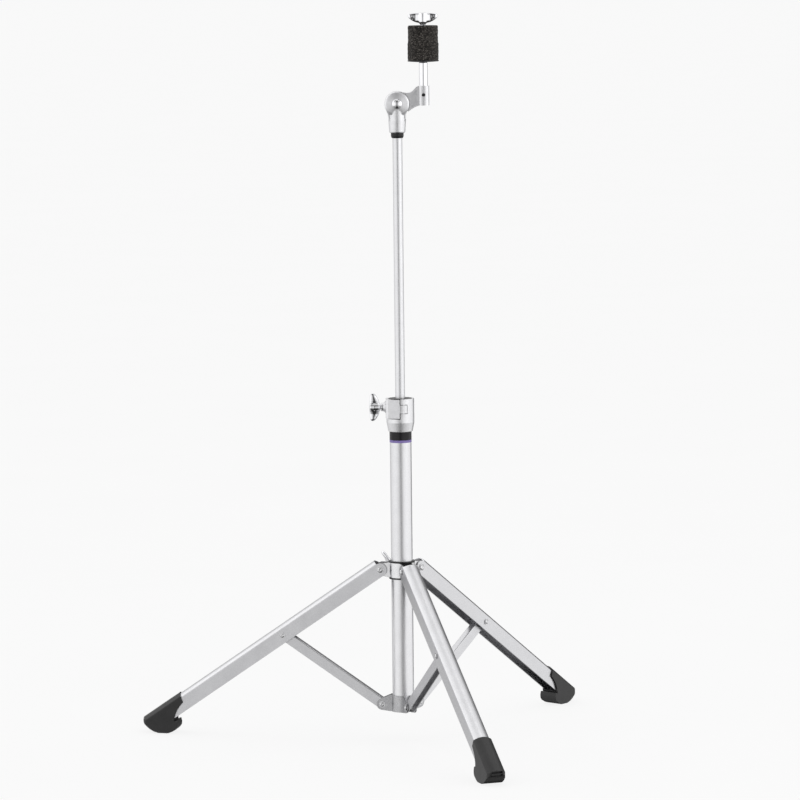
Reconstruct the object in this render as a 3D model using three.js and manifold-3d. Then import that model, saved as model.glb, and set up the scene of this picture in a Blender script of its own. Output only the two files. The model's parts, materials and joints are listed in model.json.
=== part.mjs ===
// Straight cymbal stand: a tripod that folds round a sliding hub, a two-section
// mast with a hinged clamp, and a toothless tilter with two felts and a wing nut.
// Millimetres, +Z up. The mast axis is x = y = 0 inside the stand group, and the
// group is shifted so that the middle of the footprint on the floor is the origin.
import * as THREE from "three";
import { mergeVertices } from "three/addons/utils/BufferGeometryUtils.js";
import Module from "manifold-3d";

const wasm = await Module();
wasm.setup();

const GAP = 0.3;
const ROUND = 36;
const SMALL_ROUND = 20;

// Tripod linkage. Leg and brace arms are equally long, and the hub and the lower
// pivots lie at the same radius, so the mast stays upright through the whole fold.
const LEG_AZIMUTHS = { front: -70.8, right: 49.2, left: 169.2 };
const PIVOT_RADIUS = 27.5;
const HUB_PIVOT_Z = 227.2;
const LOW_PIVOT_Z = 45.6;
const ARM_LENGTH = 162;
const ARM_SLOPE = Math.asin((HUB_PIVOT_Z - LOW_PIVOT_Z) / 2 / ARM_LENGTH);

// Legs: crowned U-channels, open underneath.
const LEG_SLOPE = THREE.MathUtils.degToRad(34.6);
const LEG_HALF_WIDTH = 10.7;
const LEG_BOTTOM = 8.8;
const LEG_SHOULDER = 9.5;
const LEG_CROWN = 5.3;
const LEG_WALL = 1.6;
const LEG_LENGTH = 366;
const LEG_CROWN_START = 0.5;

// Braces: plain U-channels, web on the upper side.
const BRACE_HALF_WIDTH = 5;
const BRACE_HALF_HEIGHT = 7;
const BRACE_WALL = 1.2;

// Rubber feet.
const FOOT_HALF_WIDTH = 12.4;
const FOOT_OVER_LEG = 1.5;
const FOOT_SIDE = 11;

// Hub and lower collar bands.
const BAND_THICKNESS = 1.4;
const HUB_BAND_LOW = 217.3;
const HUB_BAND_HIGH = 237;
const HUB_BAND_RADIUS = 15.9;
const HUB_EAR_OFFSET = 7.2;
const LOW_BAND_LOW = 36.5;
const LOW_BAND_HIGH = 58.5;
const LOW_BAND_RADIUS = 14.6;
const LOW_EAR_OFFSET = 5.3;
const HUB_BOLT_Z = 228.5;
const HUB_WING_TURN = -32;

// Mast.
const BASE_TUBE_RADIUS = 14.3;
const BASE_TUBE_WALL = 1.6;
const BASE_TUBE_LOW = 38.5;
const BASE_TUBE_HIGH = 426.4;
const UPPER_TUBE_RADIUS = 6.35;
const UPPER_TUBE_WALL = 1.2;
const UPPER_TUBE_LOW = 385;
const UPPER_TUBE_HIGH = 826;
const LABEL_LOW = 397.6;
const LABEL_SPLIT = 401;
const LABEL_HIGH = 412;

// Clamp at the top of the base tube.
const COLLAR_RADIUS = 18.4;
const COLLAR_LOW = 412.4;
const COLLAR_HIGH = 456;
const COLLAR_SHOULDER = 424.4;
const JAW_LOW = 430.2;
const JAW_HIGH = 455.4;
const JAW_FACE_X = -19.2;
const CLAMP_BORE = 10.2;
const FLANGE_SEAT = 451.2;
const BUSHING_HIGH = 455.6;
const CLAMP_BOLT_Y = 14;
const CLAMP_BOLT_Z = 442.8;
const HINGE_PIN_X = 4.3;
const HINGE_PIN_Y = -14.4;
const KNUCKLE_LOW = 437.4;
const KNUCKLE_HIGH = 448.2;

// Tilter.
const TILTER_Z = 845.2;
const TILTER_DISC = 16.4;
const DISC_FRONT = -11;
const DISC_INNER = 1.2;
const DISC_REAR = 11.5;
const BOSS_LOW = 807.2;
const ROD_X = 35;
const ROD_RADIUS = 5.6;
const ROD_LOW = 846.2;
const ROD_SHOULDER = 899.4;
const ROD_HIGH = 958;
const THREAD_RADIUS = 4;

// Felts and top wing nut.
const FELT_RADIUS = 20;
const FELT_LOW = 902.3;
const FELT_SPLIT = 924.6;
const FELT_HIGH = 947.3;
const TOP_NUT_LOW = 949.5;

// Wings are shared by all four wing screws and nuts.
const WING_DEPTH = 15;
const WING_HALF_SPAN = 19.6;

const FINISHES = {
  satin: { color: 0xd6d6d9, roughness: 0.38, metalness: 0.85 },
  cast: { color: 0xc9cacd, roughness: 0.42, metalness: 0.85 },
  chrome: { color: 0xe6e6ea, roughness: 0.08, metalness: 1 },
  steel: { color: 0xb9babd, roughness: 0.28, metalness: 0.95 },
  black: { color: 0x1c1b1d, roughness: 0.5, metalness: 0 },
  rubber: { color: 0x2b2a2c, roughness: 0.7, metalness: 0 },
  felt: { color: 0x3f3b39, roughness: 1, metalness: 0 },
  label: { color: 0x17161a, roughness: 0.35, metalness: 0 },
  stripe: { color: 0x6a5a9a, roughness: 0.35, metalness: 0 },
};

// ---------- solids ----------

function toSolid(geometry) {
  const plain = geometry.index ? geometry.toNonIndexed() : geometry.clone();
  plain.deleteAttribute("normal");
  plain.deleteAttribute("uv");
  const merged = mergeVertices(plain, 1e-4);
  return new wasm.Manifold(
    new wasm.Mesh({
      numProp: 3,
      vertProperties: merged.attributes.position.array,
      triVerts: new Uint32Array(merged.index.array),
    }),
  );
}

function toGeometry(solid) {
  const mesh = solid.getMesh();
  const indexed = new THREE.BufferGeometry();
  indexed.setAttribute("position", new THREE.BufferAttribute(mesh.vertProperties, 3));
  indexed.setIndex(new THREE.BufferAttribute(mesh.triVerts, 1));
  const geometry = indexed.toNonIndexed();
  geometry.computeVertexNormals();
  return geometry;
}

function join(first, ...others) {
  return toGeometry(others.reduce((sum, other) => sum.add(toSolid(other)), toSolid(first)));
}

function cut(first, ...tools) {
  return toGeometry(tools.reduce((rest, tool) => rest.subtract(toSolid(tool)), toSolid(first)));
}

function common(first, ...others) {
  return toGeometry(others.reduce((rest, other) => rest.intersect(toSolid(other)), toSolid(first)));
}

function shapeOf(points) {
  return new THREE.Shape(points.map(([x, y]) => new THREE.Vector2(x, y)));
}

// Turns a closed (radius, height) outline round the Y axis. Outlines run
// anticlockwise, so that the faces point outwards.
function turned(outline, segments = SMALL_ROUND) {
  const points = outline.map(([radius, height]) => new THREE.Vector2(radius, height));
  const anticlockwise = THREE.ShapeUtils.area(points) > 0;
  if (!anticlockwise) points.reverse();
  if (points[0].x > 0) points.push(points[0].clone());
  return new THREE.LatheGeometry(points, segments);
}

// The same, round the Z axis.
function turnedUpright(outline, segments = ROUND) {
  return turned(outline, segments).rotateX(Math.PI / 2);
}

// The same, round the X axis.
function turnedSideways(outline, segments = SMALL_ROUND) {
  return turned(outline, segments).rotateZ(-Math.PI / 2);
}

function rod(radius, from, to, segments = SMALL_ROUND) {
  return turned([[0, from], [radius, from], [radius, to], [0, to]], segments);
}

function box(x0, x1, y0, y1, z0, z1) {
  const geometry = new THREE.BoxGeometry(x1 - x0, y1 - y0, z1 - z0);
  return geometry.translate((x0 + x1) / 2, (y0 + y1) / 2, (z0 + z1) / 2);
}

// A plan outline (x, y) raised from z0 to z1.
function raised(outline, z0, z1) {
  const geometry = new THREE.ExtrudeGeometry(shapeOf(outline), {
    depth: z1 - z0,
    bevelEnabled: false,
  });
  return geometry.translate(0, 0, z0);
}

// A side outline (x, z) given the thickness y0 to y1.
function slab(outline, y0, y1) {
  const geometry = new THREE.ExtrudeGeometry(shapeOf(outline), {
    depth: y1 - y0,
    bevelEnabled: false,
  });
  return geometry.rotateX(Math.PI / 2).translate(0, y1, 0);
}

// A cross-section (y, z) run along x0 to x1.
function channel(outline, x0, x1) {
  const geometry = new THREE.ExtrudeGeometry(shapeOf(outline), {
    depth: x1 - x0,
    bevelEnabled: false,
  });
  const along = new THREE.Matrix4().makeBasis(
    new THREE.Vector3(0, 1, 0),
    new THREE.Vector3(0, 0, 1),
    new THREE.Vector3(1, 0, 0),
  );
  return geometry.applyMatrix4(along).translate(x0, 0, 0);
}

function arc(cx, cy, radius, fromDegrees, toDegrees, steps) {
  const points = [];
  for (let i = 0; i <= steps; i += 1) {
    const angle = THREE.MathUtils.degToRad(fromDegrees + ((toDegrees - fromDegrees) * i) / steps);
    points.push([cx + radius * Math.cos(angle), cy + radius * Math.sin(angle)]);
  }
  return points;
}

function node(name, geometry, finish) {
  const mesh = new THREE.Mesh(geometry, new THREE.MeshStandardMaterial(FINISHES[finish]));
  mesh.name = name;
  return mesh;
}

function groupOf(...children) {
  const group = new THREE.Group();
  group.add(...children);
  return group;
}

// ---------- legs, braces and feet ----------

// Crown of a channel, from the right edge to the left.
function crownPoints(halfWidth, shoulder, rise) {
  const points = [];
  const steps = 8;
  for (let i = 0; i <= steps; i += 1) {
    const across = 1 - (2 * i) / steps;
    points.push([halfWidth * across, shoulder + rise * (1 - across * across)]);
  }
  return points;
}

function legSection() {
  const inner = LEG_HALF_WIDTH - LEG_WALL;
  const innerCrown = crownPoints(inner, LEG_SHOULDER - 1.1, LEG_CROWN - 0.4).reverse();
  return [
    [LEG_HALF_WIDTH, -LEG_BOTTOM],
    ...crownPoints(LEG_HALF_WIDTH, LEG_SHOULDER, LEG_CROWN),
    [-LEG_HALF_WIDTH, -LEG_BOTTOM],
    [-inner, -LEG_BOTTOM],
    ...innerCrown,
    [inner, -LEG_BOTTOM],
  ];
}

function legGeometry() {
  const top = LEG_SHOULDER + LEG_CROWN + 1;
  const side = [
    ...arc(0, 0, LEG_BOTTOM, 90, 270, 14),
    [LEG_LENGTH + 1, -LEG_BOTTOM - 1],
    [LEG_LENGTH + 1, top],
    [LEG_CROWN_START + 1, top],
    [LEG_CROWN_START, LEG_SHOULDER],
  ];
  const inner = LEG_HALF_WIDTH - LEG_WALL;
  const blank = channel(legSection(), -LEG_BOTTOM, LEG_LENGTH);
  const rounded = common(blank, slab(side, -LEG_HALF_WIDTH - 1, LEG_HALF_WIDTH + 1));
  const middle = midPivotOnLeg();
  return cut(
    rounded,
    box(-20, LEG_CROWN_START, -inner, inner, 0, top),
    rod(2.9, -20, 20),
    rod(2.6, -20, 20).translate(middle.x, 0, middle.z),
  );
}

function midPivotOnLeg() {
  const lift = LEG_SLOPE - ARM_SLOPE;
  return { x: ARM_LENGTH * Math.cos(lift), z: ARM_LENGTH * Math.sin(lift) };
}

function braceGeometry() {
  const inner = BRACE_HALF_WIDTH - BRACE_WALL;
  const section = [
    [-BRACE_HALF_WIDTH, -BRACE_HALF_HEIGHT],
    [-inner, -BRACE_HALF_HEIGHT],
    [-inner, BRACE_HALF_HEIGHT - BRACE_WALL],
    [inner, BRACE_HALF_HEIGHT - BRACE_WALL],
    [inner, -BRACE_HALF_HEIGHT],
    [BRACE_HALF_WIDTH, -BRACE_HALF_HEIGHT],
    [BRACE_HALF_WIDTH, BRACE_HALF_HEIGHT],
    [-BRACE_HALF_WIDTH, BRACE_HALF_HEIGHT],
  ];
  const side = [
    ...arc(0, 0, BRACE_HALF_HEIGHT, 90, 270, 12),
    ...arc(ARM_LENGTH, 0, BRACE_HALF_HEIGHT, -90, 90, 12),
  ];
  const blank = channel(section, -BRACE_HALF_HEIGHT, ARM_LENGTH + BRACE_HALF_HEIGHT);
  const rounded = common(blank, slab(side, -BRACE_HALF_WIDTH - 1, BRACE_HALF_WIDTH + 1));
  return cut(rounded, rod(2.6, -20, 20), rod(2.6, -20, 20).translate(ARM_LENGTH, 0, 0));
}

// The foot is drawn in the leg's upright plane: x outwards from the mast, z up.
function footGeometry() {
  const side = [
    [306.8, 55.6],
    [303, 50.5],
    [299.9, 42.6],
    [304.5, 37],
    [308.5, 31],
    [311.6, 23.2],
    [312.3, 16.6],
    [308.2, 18],
    [307, 13],
    [307.5, 8.6],
    [309.9, 5.2],
    [314.9, 2.2],
    [320.5, 0],
    [334, 0],
    [340.6, 2],
    [346.5, 5.4],
    [353.3, 11.3],
    [355.5, 15],
    [356.2, 21],
  ];
  const crownHigh = LEG_SHOULDER + LEG_CROWN + FOOT_OVER_LEG;
  const outside = [
    [FOOT_HALF_WIDTH, -80],
    ...crownPoints(FOOT_HALF_WIDTH, FOOT_SIDE, crownHigh - FOOT_SIDE),
    [-FOOT_HALF_WIDTH, -80],
  ];
  const pocket = [
    [LEG_HALF_WIDTH + GAP, -LEG_BOTTOM - GAP],
    ...crownPoints(LEG_HALF_WIDTH + GAP, LEG_SHOULDER + GAP, LEG_CROWN),
    [-LEG_HALF_WIDTH - GAP, -LEG_BOTTOM - GAP],
  ];
  const plan = [
    [295, -FOOT_HALF_WIDTH],
    ...arc(348, -4.4, 8, -90, 0, 5),
    ...arc(348, 4.4, 8, 0, 90, 5),
    [295, FOOT_HALF_WIDTH],
  ];
  const alongLeg = (geometry) =>
    geometry.rotateY(LEG_SLOPE).translate(PIVOT_RADIUS, 0, HUB_PIVOT_Z);
  const block = common(
    slab(side, -FOOT_HALF_WIDTH, FOOT_HALF_WIDTH),
    alongLeg(channel(outside, 200, 450)),
    raised(plan, -5, 80),
  );
  return cut(block, alongLeg(channel(pocket, 300, LEG_LENGTH + GAP)));
}

// A rivet lies along Y. Stages are (radius, half length) from the middle outwards.
function rivetGeometry(stages, headRadius, headHeight) {
  const upper = [];
  stages.forEach(([radius, reach], i) => {
    upper.push([radius, i === 0 ? 0 : stages[i - 1][1]]);
    upper.push([radius, reach]);
  });
  const base = stages[stages.length - 1][1];
  const dome = arc(0, 0, 1, 0, 90, 3).map(([across, up]) => [
    headRadius * across,
    base + 0.4 + (headHeight - 0.4) * up,
  ]);
  dome[dome.length - 1][0] = 0;
  upper.push([headRadius, base], ...dome);
  const lower = upper.slice(1).map(([radius, y]) => [radius, -y]).reverse();
  return turned([...lower, ...upper.slice(1)], 12);
}

function legSet(name, azimuth) {
  const leg = node(`leg_${name}`, legGeometry(), "satin");
  const foot = node(`foot_${name}`, footGeometry(), "rubber");
  const brace = node(`brace_${name}`, braceGeometry(), "satin");
  const hubHalf = LEG_HALF_WIDTH + GAP;
  const earHalf = LOW_EAR_OFFSET + BAND_THICKNESS + GAP;
  const inner = LEG_HALF_WIDTH - LEG_WALL - GAP;
  const hubRivet = node(`hub_rivet_${name}`, rivetGeometry([[2.6, hubHalf]], 4.9, 2.3), "steel");
  const midStages = [[2.3, BRACE_HALF_WIDTH + GAP], [4, inner], [2.3, hubHalf]];
  const midRivet = node(`mid_rivet_${name}`, rivetGeometry(midStages, 4, 1.9), "steel");
  const lowRivet = node(`lower_rivet_${name}`, rivetGeometry([[2.3, earHalf]], 4.2, 1.5), "steel");
  leg.position.set(PIVOT_RADIUS, 0, HUB_PIVOT_Z);
  leg.rotation.y = LEG_SLOPE;
  hubRivet.position.copy(leg.position);
  brace.position.set(PIVOT_RADIUS, 0, LOW_PIVOT_Z);
  brace.rotation.y = -ARM_SLOPE;
  lowRivet.position.copy(brace.position);
  const middleRadius = PIVOT_RADIUS + ARM_LENGTH * Math.cos(ARM_SLOPE);
  midRivet.position.set(middleRadius, 0, (HUB_PIVOT_Z + LOW_PIVOT_Z) / 2);
  const set = groupOf(leg, foot, brace, hubRivet, midRivet, lowRivet);
  set.rotation.z = THREE.MathUtils.degToRad(azimuth);
  return set;
}

// ---------- bands round the mast ----------

// One third of a clamp band. It starts at one leg (along X) and ends at the next,
// 120 degrees further round, with an ear beside each.
function bandGeometry({ radius, offset, low, high, pivotZ, hole }) {
  const outer = radius + BAND_THICKNESS;
  const earOuter = offset + BAND_THICKNESS;
  const reach = 40;
  const innerAngle = THREE.MathUtils.radToDeg(Math.asin(offset / radius));
  const outerAngle = THREE.MathUtils.radToDeg(Math.asin(earOuter / outer));
  const turn = THREE.MathUtils.degToRad(120);
  const onNextLeg = (x, y) => [
    x * Math.cos(turn) - y * Math.sin(turn),
    x * Math.sin(turn) + y * Math.cos(turn),
  ];
  const plan = [
    [reach, offset],
    ...arc(0, 0, radius, innerAngle, 120 - innerAngle, 10),
    onNextLeg(reach, -offset),
    onNextLeg(reach, -earOuter),
    ...arc(0, 0, outer, 120 - outerAngle, outerAngle, 10),
    [reach, earOuter],
  ];
  const earCentre = Math.hypot(PIVOT_RADIUS, offset + BAND_THICKNESS / 2);
  const earRound = 7.6;
  const trim = [
    [0, low],
    [outer + 1.5, low],
    ...arc(earCentre, pivotZ, earRound, -80, 80, 12),
    [outer + 1.5, high],
    [0, high],
  ];
  const strip = common(raised(plan, low, high), turnedUpright(trim));
  const pivotHole = () => rod(hole, 0, 20, 16).translate(PIVOT_RADIUS, 0, pivotZ);
  const nextHole = rod(hole, -20, 0, 16).translate(PIVOT_RADIUS, 0, pivotZ).rotateZ(turn);
  return cut(strip, pivotHole(), nextHole);
}

function radialRod(radius, from, to, z, azimuthDegrees) {
  const geometry = turnedSideways([[0, from], [radius, from], [radius, to], [0, to]]);
  return geometry.rotateZ(THREE.MathUtils.degToRad(azimuthDegrees)).translate(0, 0, z);
}

function hubBandGeometry() {
  return bandGeometry({
    radius: HUB_BAND_RADIUS,
    offset: HUB_EAR_OFFSET,
    low: HUB_BAND_LOW,
    high: HUB_BAND_HIGH,
    pivotZ: HUB_PIVOT_Z,
    hole: 2.9,
  });
}

function lowBandGeometry() {
  return bandGeometry({
    radius: LOW_BAND_RADIUS,
    offset: LOW_EAR_OFFSET,
    low: LOW_BAND_LOW,
    high: LOW_BAND_HIGH,
    pivotZ: LOW_PIVOT_Z,
    hole: 2.6,
  });
}

// The rear band also carries the welded nut for the hub wing screw.
function rearHubBandGeometry() {
  const nut = radialRod(6.6, HUB_BAND_RADIUS + 0.6, 24.5, HUB_BOLT_Z, 60);
  const thread = radialRod(3.3, 5, 40, HUB_BOLT_Z, 60);
  return cut(join(hubBandGeometry(), nut), thread);
}

function hubLinerGeometry() {
  const sleeve = turnedUpright([
    [BASE_TUBE_RADIUS + GAP, HUB_BAND_LOW - 2],
    [HUB_BAND_RADIUS + 1.3, HUB_BAND_LOW - 2],
    [HUB_BAND_RADIUS + 1.3, HUB_BAND_LOW - GAP],
    [HUB_BAND_RADIUS - GAP, HUB_BAND_LOW - GAP],
    [HUB_BAND_RADIUS - GAP, HUB_BAND_HIGH + GAP],
    [HUB_BAND_RADIUS + 1.3, HUB_BAND_HIGH + GAP],
    [HUB_BAND_RADIUS + 1.3, HUB_BAND_HIGH + 2],
    [BASE_TUBE_RADIUS + GAP, HUB_BAND_HIGH + 2],
  ]);
  return cut(sleeve, radialRod(3.3, 5, 30, HUB_BOLT_Z, LEG_AZIMUTHS.right + 60));
}

function bands() {
  const set = new THREE.Group();
  const places = { front_right: "front", rear: "right", front_left: "left" };
  Object.entries(places).forEach(([place, firstLeg]) => {
    const geometry = place === "rear" ? rearHubBandGeometry() : hubBandGeometry();
    const hubBand = node(`hub_band_${place}`, geometry, "steel");
    const lowBand = node(`lower_band_${place}`, lowBandGeometry(), "steel");
    const pair = groupOf(hubBand, lowBand);
    pair.rotation.z = THREE.MathUtils.degToRad(LEG_AZIMUTHS[firstLeg]);
    set.add(pair);
  });
  set.add(node("hub_liner", hubLinerGeometry(), "black"));
  return set;
}

// ---------- wings ----------

// A cast wing: span along X, axis along Z, the narrow hub end at z = 0.
function wingGeometry(halfSpan = WING_HALF_SPAN) {
  const k = halfSpan / 19.6;
  const half = [
    [4.6, 0],
    [6, 1],
    [9 * k, 1.8],
    [12 * k, 3.2],
    [15 * k, 4.9],
    [17.5 * k, 6.8],
    [19 * k, 8.6],
    [19.6 * k, 10.8],
    [18.4 * k, 12.8],
    [15 * k, 13.9],
    [8 * k, 14.7],
    [0, WING_DEPTH],
  ];
  const side = [...half, ...half.slice(0, -1).map(([x, z]) => [-x, z]).reverse()];
  const quarter = [
    [20 * k, 1.2],
    [18 * k, 2.6],
    [13.5 * k, 2.9],
    [9.5 * k, 2.7],
    [6.6, 3.6],
    [4.6, 5],
    [0, 6],
  ];
  const near = quarter.map(([x, y]) => [-x, y]).reverse().slice(1);
  const top = [...quarter, ...near];
  const bottom = top.map(([x, y]) => [x, -y]).reverse();
  return common(slab(side, -8, 8), raised([...top, ...bottom], -1, WING_DEPTH + 1));
}

// Wing screw along Z: tip at z = 0, wing beyond the shank.
function wingScrewGeometry(shankRadius, shankLength, halfSpan) {
  const shank = rod(shankRadius, 0, shankLength + 3).rotateX(Math.PI / 2);
  return join(wingGeometry(halfSpan).translate(0, 0, shankLength), shank);
}

function hubWingScrew() {
  const start = BASE_TUBE_RADIUS + 0.4;
  const screw = node("hub_wing_screw", wingScrewGeometry(3, 24.3, 20), "chrome");
  screw.rotation.z = THREE.MathUtils.degToRad(HUB_WING_TURN);
  const radial = groupOf(screw);
  radial.rotation.y = Math.PI / 2;
  radial.position.set(start, 0, HUB_BOLT_Z);
  const placed = groupOf(radial);
  placed.rotation.z = THREE.MathUtils.degToRad(LEG_AZIMUTHS.right + 60);
  return placed;
}

// ---------- mast and clamp ----------

function ring(inner, outer, low, high, segments = ROUND) {
  return turnedUpright([[inner, low], [outer, low], [outer, high], [inner, high]], segments);
}

function endPlugGeometry() {
  const inside = BASE_TUBE_RADIUS - BASE_TUBE_WALL - GAP;
  return turnedUpright([
    [0, BASE_TUBE_LOW - 1.8],
    [BASE_TUBE_RADIUS - 0.2, BASE_TUBE_LOW - 1.8],
    [BASE_TUBE_RADIUS - 0.2, BASE_TUBE_LOW - GAP],
    [inside, BASE_TUBE_LOW - GAP],
    [inside, BASE_TUBE_LOW + 8],
    [inside - 1, BASE_TUBE_LOW + 9],
    [0, BASE_TUBE_LOW + 9],
  ]);
}

function collarGeometry() {
  const body = turnedUpright([
    [BASE_TUBE_RADIUS + GAP, COLLAR_LOW],
    [16.2, COLLAR_LOW],
    [COLLAR_RADIUS, COLLAR_SHOULDER],
    [COLLAR_RADIUS, COLLAR_HIGH - 0.8],
    [COLLAR_RADIUS - 0.8, COLLAR_HIGH],
    [15.8, COLLAR_HIGH],
    [15.8, FLANGE_SEAT],
    [CLAMP_BORE, FLANGE_SEAT],
    [CLAMP_BORE, BASE_TUBE_HIGH + GAP],
    [BASE_TUBE_RADIUS + GAP, BASE_TUBE_HIGH + GAP],
  ]);
  const boltHole = rod(3.3, -30, 12.5).rotateZ(-Math.PI / 2);
  const pinHole = rod(1.8, JAW_LOW + 0.5, COLLAR_HIGH + 5, 16).rotateX(Math.PI / 2);
  return cut(
    body,
    box(-30, 0, -30, 30, JAW_LOW - GAP, COLLAR_HIGH + 5),
    box(-1, 9.2, -30, -10.6, KNUCKLE_LOW - GAP, KNUCKLE_HIGH + GAP),
    boltHole.translate(0, CLAMP_BOLT_Y, CLAMP_BOLT_Z),
    pinHole.translate(HINGE_PIN_X, HINGE_PIN_Y, 0),
  );
}

function jawGeometry() {
  const half = [
    [-0.4, -COLLAR_RADIUS],
    [-8, -COLLAR_RADIUS + 1.2],
    [-14.5, -14.6],
    [JAW_FACE_X + 0.8, -11.5],
    [JAW_FACE_X, -9],
    [JAW_FACE_X, 9],
    [JAW_FACE_X + 0.8, 11.5],
    [-14.5, 14.6],
    [-8, COLLAR_RADIUS - 1.2],
    [-0.4, COLLAR_RADIUS],
  ];
  const boss = turnedSideways([
    [0, -25.4],
    [5.2, -25.4],
    [5.6, -24.9],
    [5.6, -22.4],
    [6.6, -20.8],
    [9.4, -18.4],
    [9.4, -8],
    [0, -8],
  ]).translate(0, CLAMP_BOLT_Y, CLAMP_BOLT_Z);
  const trimmedBoss = common(boss, box(-30, -0.4, 0, 21, JAW_LOW, JAW_HIGH));
  const tongue = common(
    box(-2, 8.9, -30, -10.9, KNUCKLE_LOW, KNUCKLE_HIGH),
    ring(10.9, COLLAR_RADIUS, JAW_LOW, JAW_HIGH),
  );
  const bore = turnedUpright([
    [0, JAW_LOW - 5],
    [CLAMP_BORE, JAW_LOW - 5],
    [CLAMP_BORE, FLANGE_SEAT],
    [15.8, FLANGE_SEAT],
    [15.8, COLLAR_HIGH + 5],
    [0, COLLAR_HIGH + 5],
  ]);
  return cut(
    join(raised(half, JAW_LOW, JAW_HIGH), trimmedBoss, tongue),
    bore,
    rod(3.3, -30, 12.5).rotateZ(-Math.PI / 2).translate(0, CLAMP_BOLT_Y, CLAMP_BOLT_Z),
    rod(1.8, 400, 500, 16).rotateX(Math.PI / 2).translate(HINGE_PIN_X, HINGE_PIN_Y, 0),
  );
}

function bushingGeometry() {
  return turnedUpright([
    [UPPER_TUBE_RADIUS + GAP, BASE_TUBE_HIGH + 2.6],
    [CLAMP_BORE - GAP, BASE_TUBE_HIGH + 2.6],
    [CLAMP_BORE - GAP, FLANGE_SEAT + GAP],
    [15.5, FLANGE_SEAT + GAP],
    [15.5, BUSHING_HIGH],
    [UPPER_TUBE_RADIUS + GAP, BUSHING_HIGH],
  ]);
}

function mast() {
  const inside = BASE_TUBE_RADIUS - BASE_TUBE_WALL;
  const skin = BASE_TUBE_RADIUS + 0.15;
  const pin = rod(1.5, JAW_LOW + 0.8, FLANGE_SEAT - 0.2, 16).rotateX(Math.PI / 2);
  const screw = node("clamp_wing_screw", wingScrewGeometry(3, 37.6, 18.8), "chrome");
  screw.position.set(11.4, CLAMP_BOLT_Y, CLAMP_BOLT_Z);
  screw.rotation.y = -Math.PI / 2;
  return groupOf(
    node("base_tube", ring(inside, BASE_TUBE_RADIUS, BASE_TUBE_LOW, BASE_TUBE_HIGH), "satin"),
    node("tube_end_plug", endPlugGeometry(), "black"),
    node("label_stripe", ring(skin, skin + 0.35, LABEL_LOW, LABEL_SPLIT - 0.1), "stripe"),
    node("label_band", ring(skin, skin + 0.35, LABEL_SPLIT + 0.1, LABEL_HIGH), "label"),
    node("clamp_collar", collarGeometry(), "cast"),
    node("clamp_jaw", jawGeometry(), "cast"),
    node("clamp_hinge_pin", pin.translate(HINGE_PIN_X, HINGE_PIN_Y, 0), "steel"),
    node("clamp_bushing", bushingGeometry(), "black"),
    screw,
  );
}

function tubeGuideGeometry() {
  const outside = BASE_TUBE_RADIUS - BASE_TUBE_WALL - 0.4;
  return turnedUpright([
    [0, UPPER_TUBE_LOW - 3],
    [outside - 1, UPPER_TUBE_LOW - 3],
    [outside, UPPER_TUBE_LOW - 2],
    [outside, UPPER_TUBE_LOW + 12],
    [UPPER_TUBE_RADIUS + GAP, UPPER_TUBE_LOW + 12],
    [UPPER_TUBE_RADIUS + GAP, UPPER_TUBE_LOW - GAP],
    [0, UPPER_TUBE_LOW - GAP],
  ]);
}

function upperTube() {
  const inside = UPPER_TUBE_RADIUS - UPPER_TUBE_WALL;
  const tube = ring(inside, UPPER_TUBE_RADIUS, UPPER_TUBE_LOW, UPPER_TUBE_HIGH, 32);
  return groupOf(node("upper_tube", tube, "satin"), node("upper_tube_guide", tubeGuideGeometry(), "black"));
}

// ---------- tilter ----------

function tilterBaseGeometry() {
  const post = turnedUpright([
    [0, BOSS_LOW],
    [9.8, BOSS_LOW],
    [10.5, BOSS_LOW + 1],
    [11.5, 823],
    [11.5, 836],
    [8, TILTER_Z],
    [0, TILTER_Z],
  ]);
  const head = turned([
    [0, DISC_FRONT],
    [TILTER_DISC - 1.8, DISC_FRONT],
    [TILTER_DISC, DISC_FRONT + 1.3],
    [TILTER_DISC, -DISC_INNER],
    [0, -DISC_INNER],
  ], ROUND).translate(0, 0, TILTER_Z);
  return cut(
    join(post, head),
    rod(TILTER_DISC + 0.5, -DISC_INNER, 30, ROUND).translate(0, 0, TILTER_Z),
    rod(3.3, -30, 30).translate(0, 0, TILTER_Z),
    rod(5.9, -30, -7).translate(0, 0, TILTER_Z),
    ring(0, UPPER_TUBE_RADIUS + GAP, 780, UPPER_TUBE_HIGH + GAP, 32),
  );
}

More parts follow.
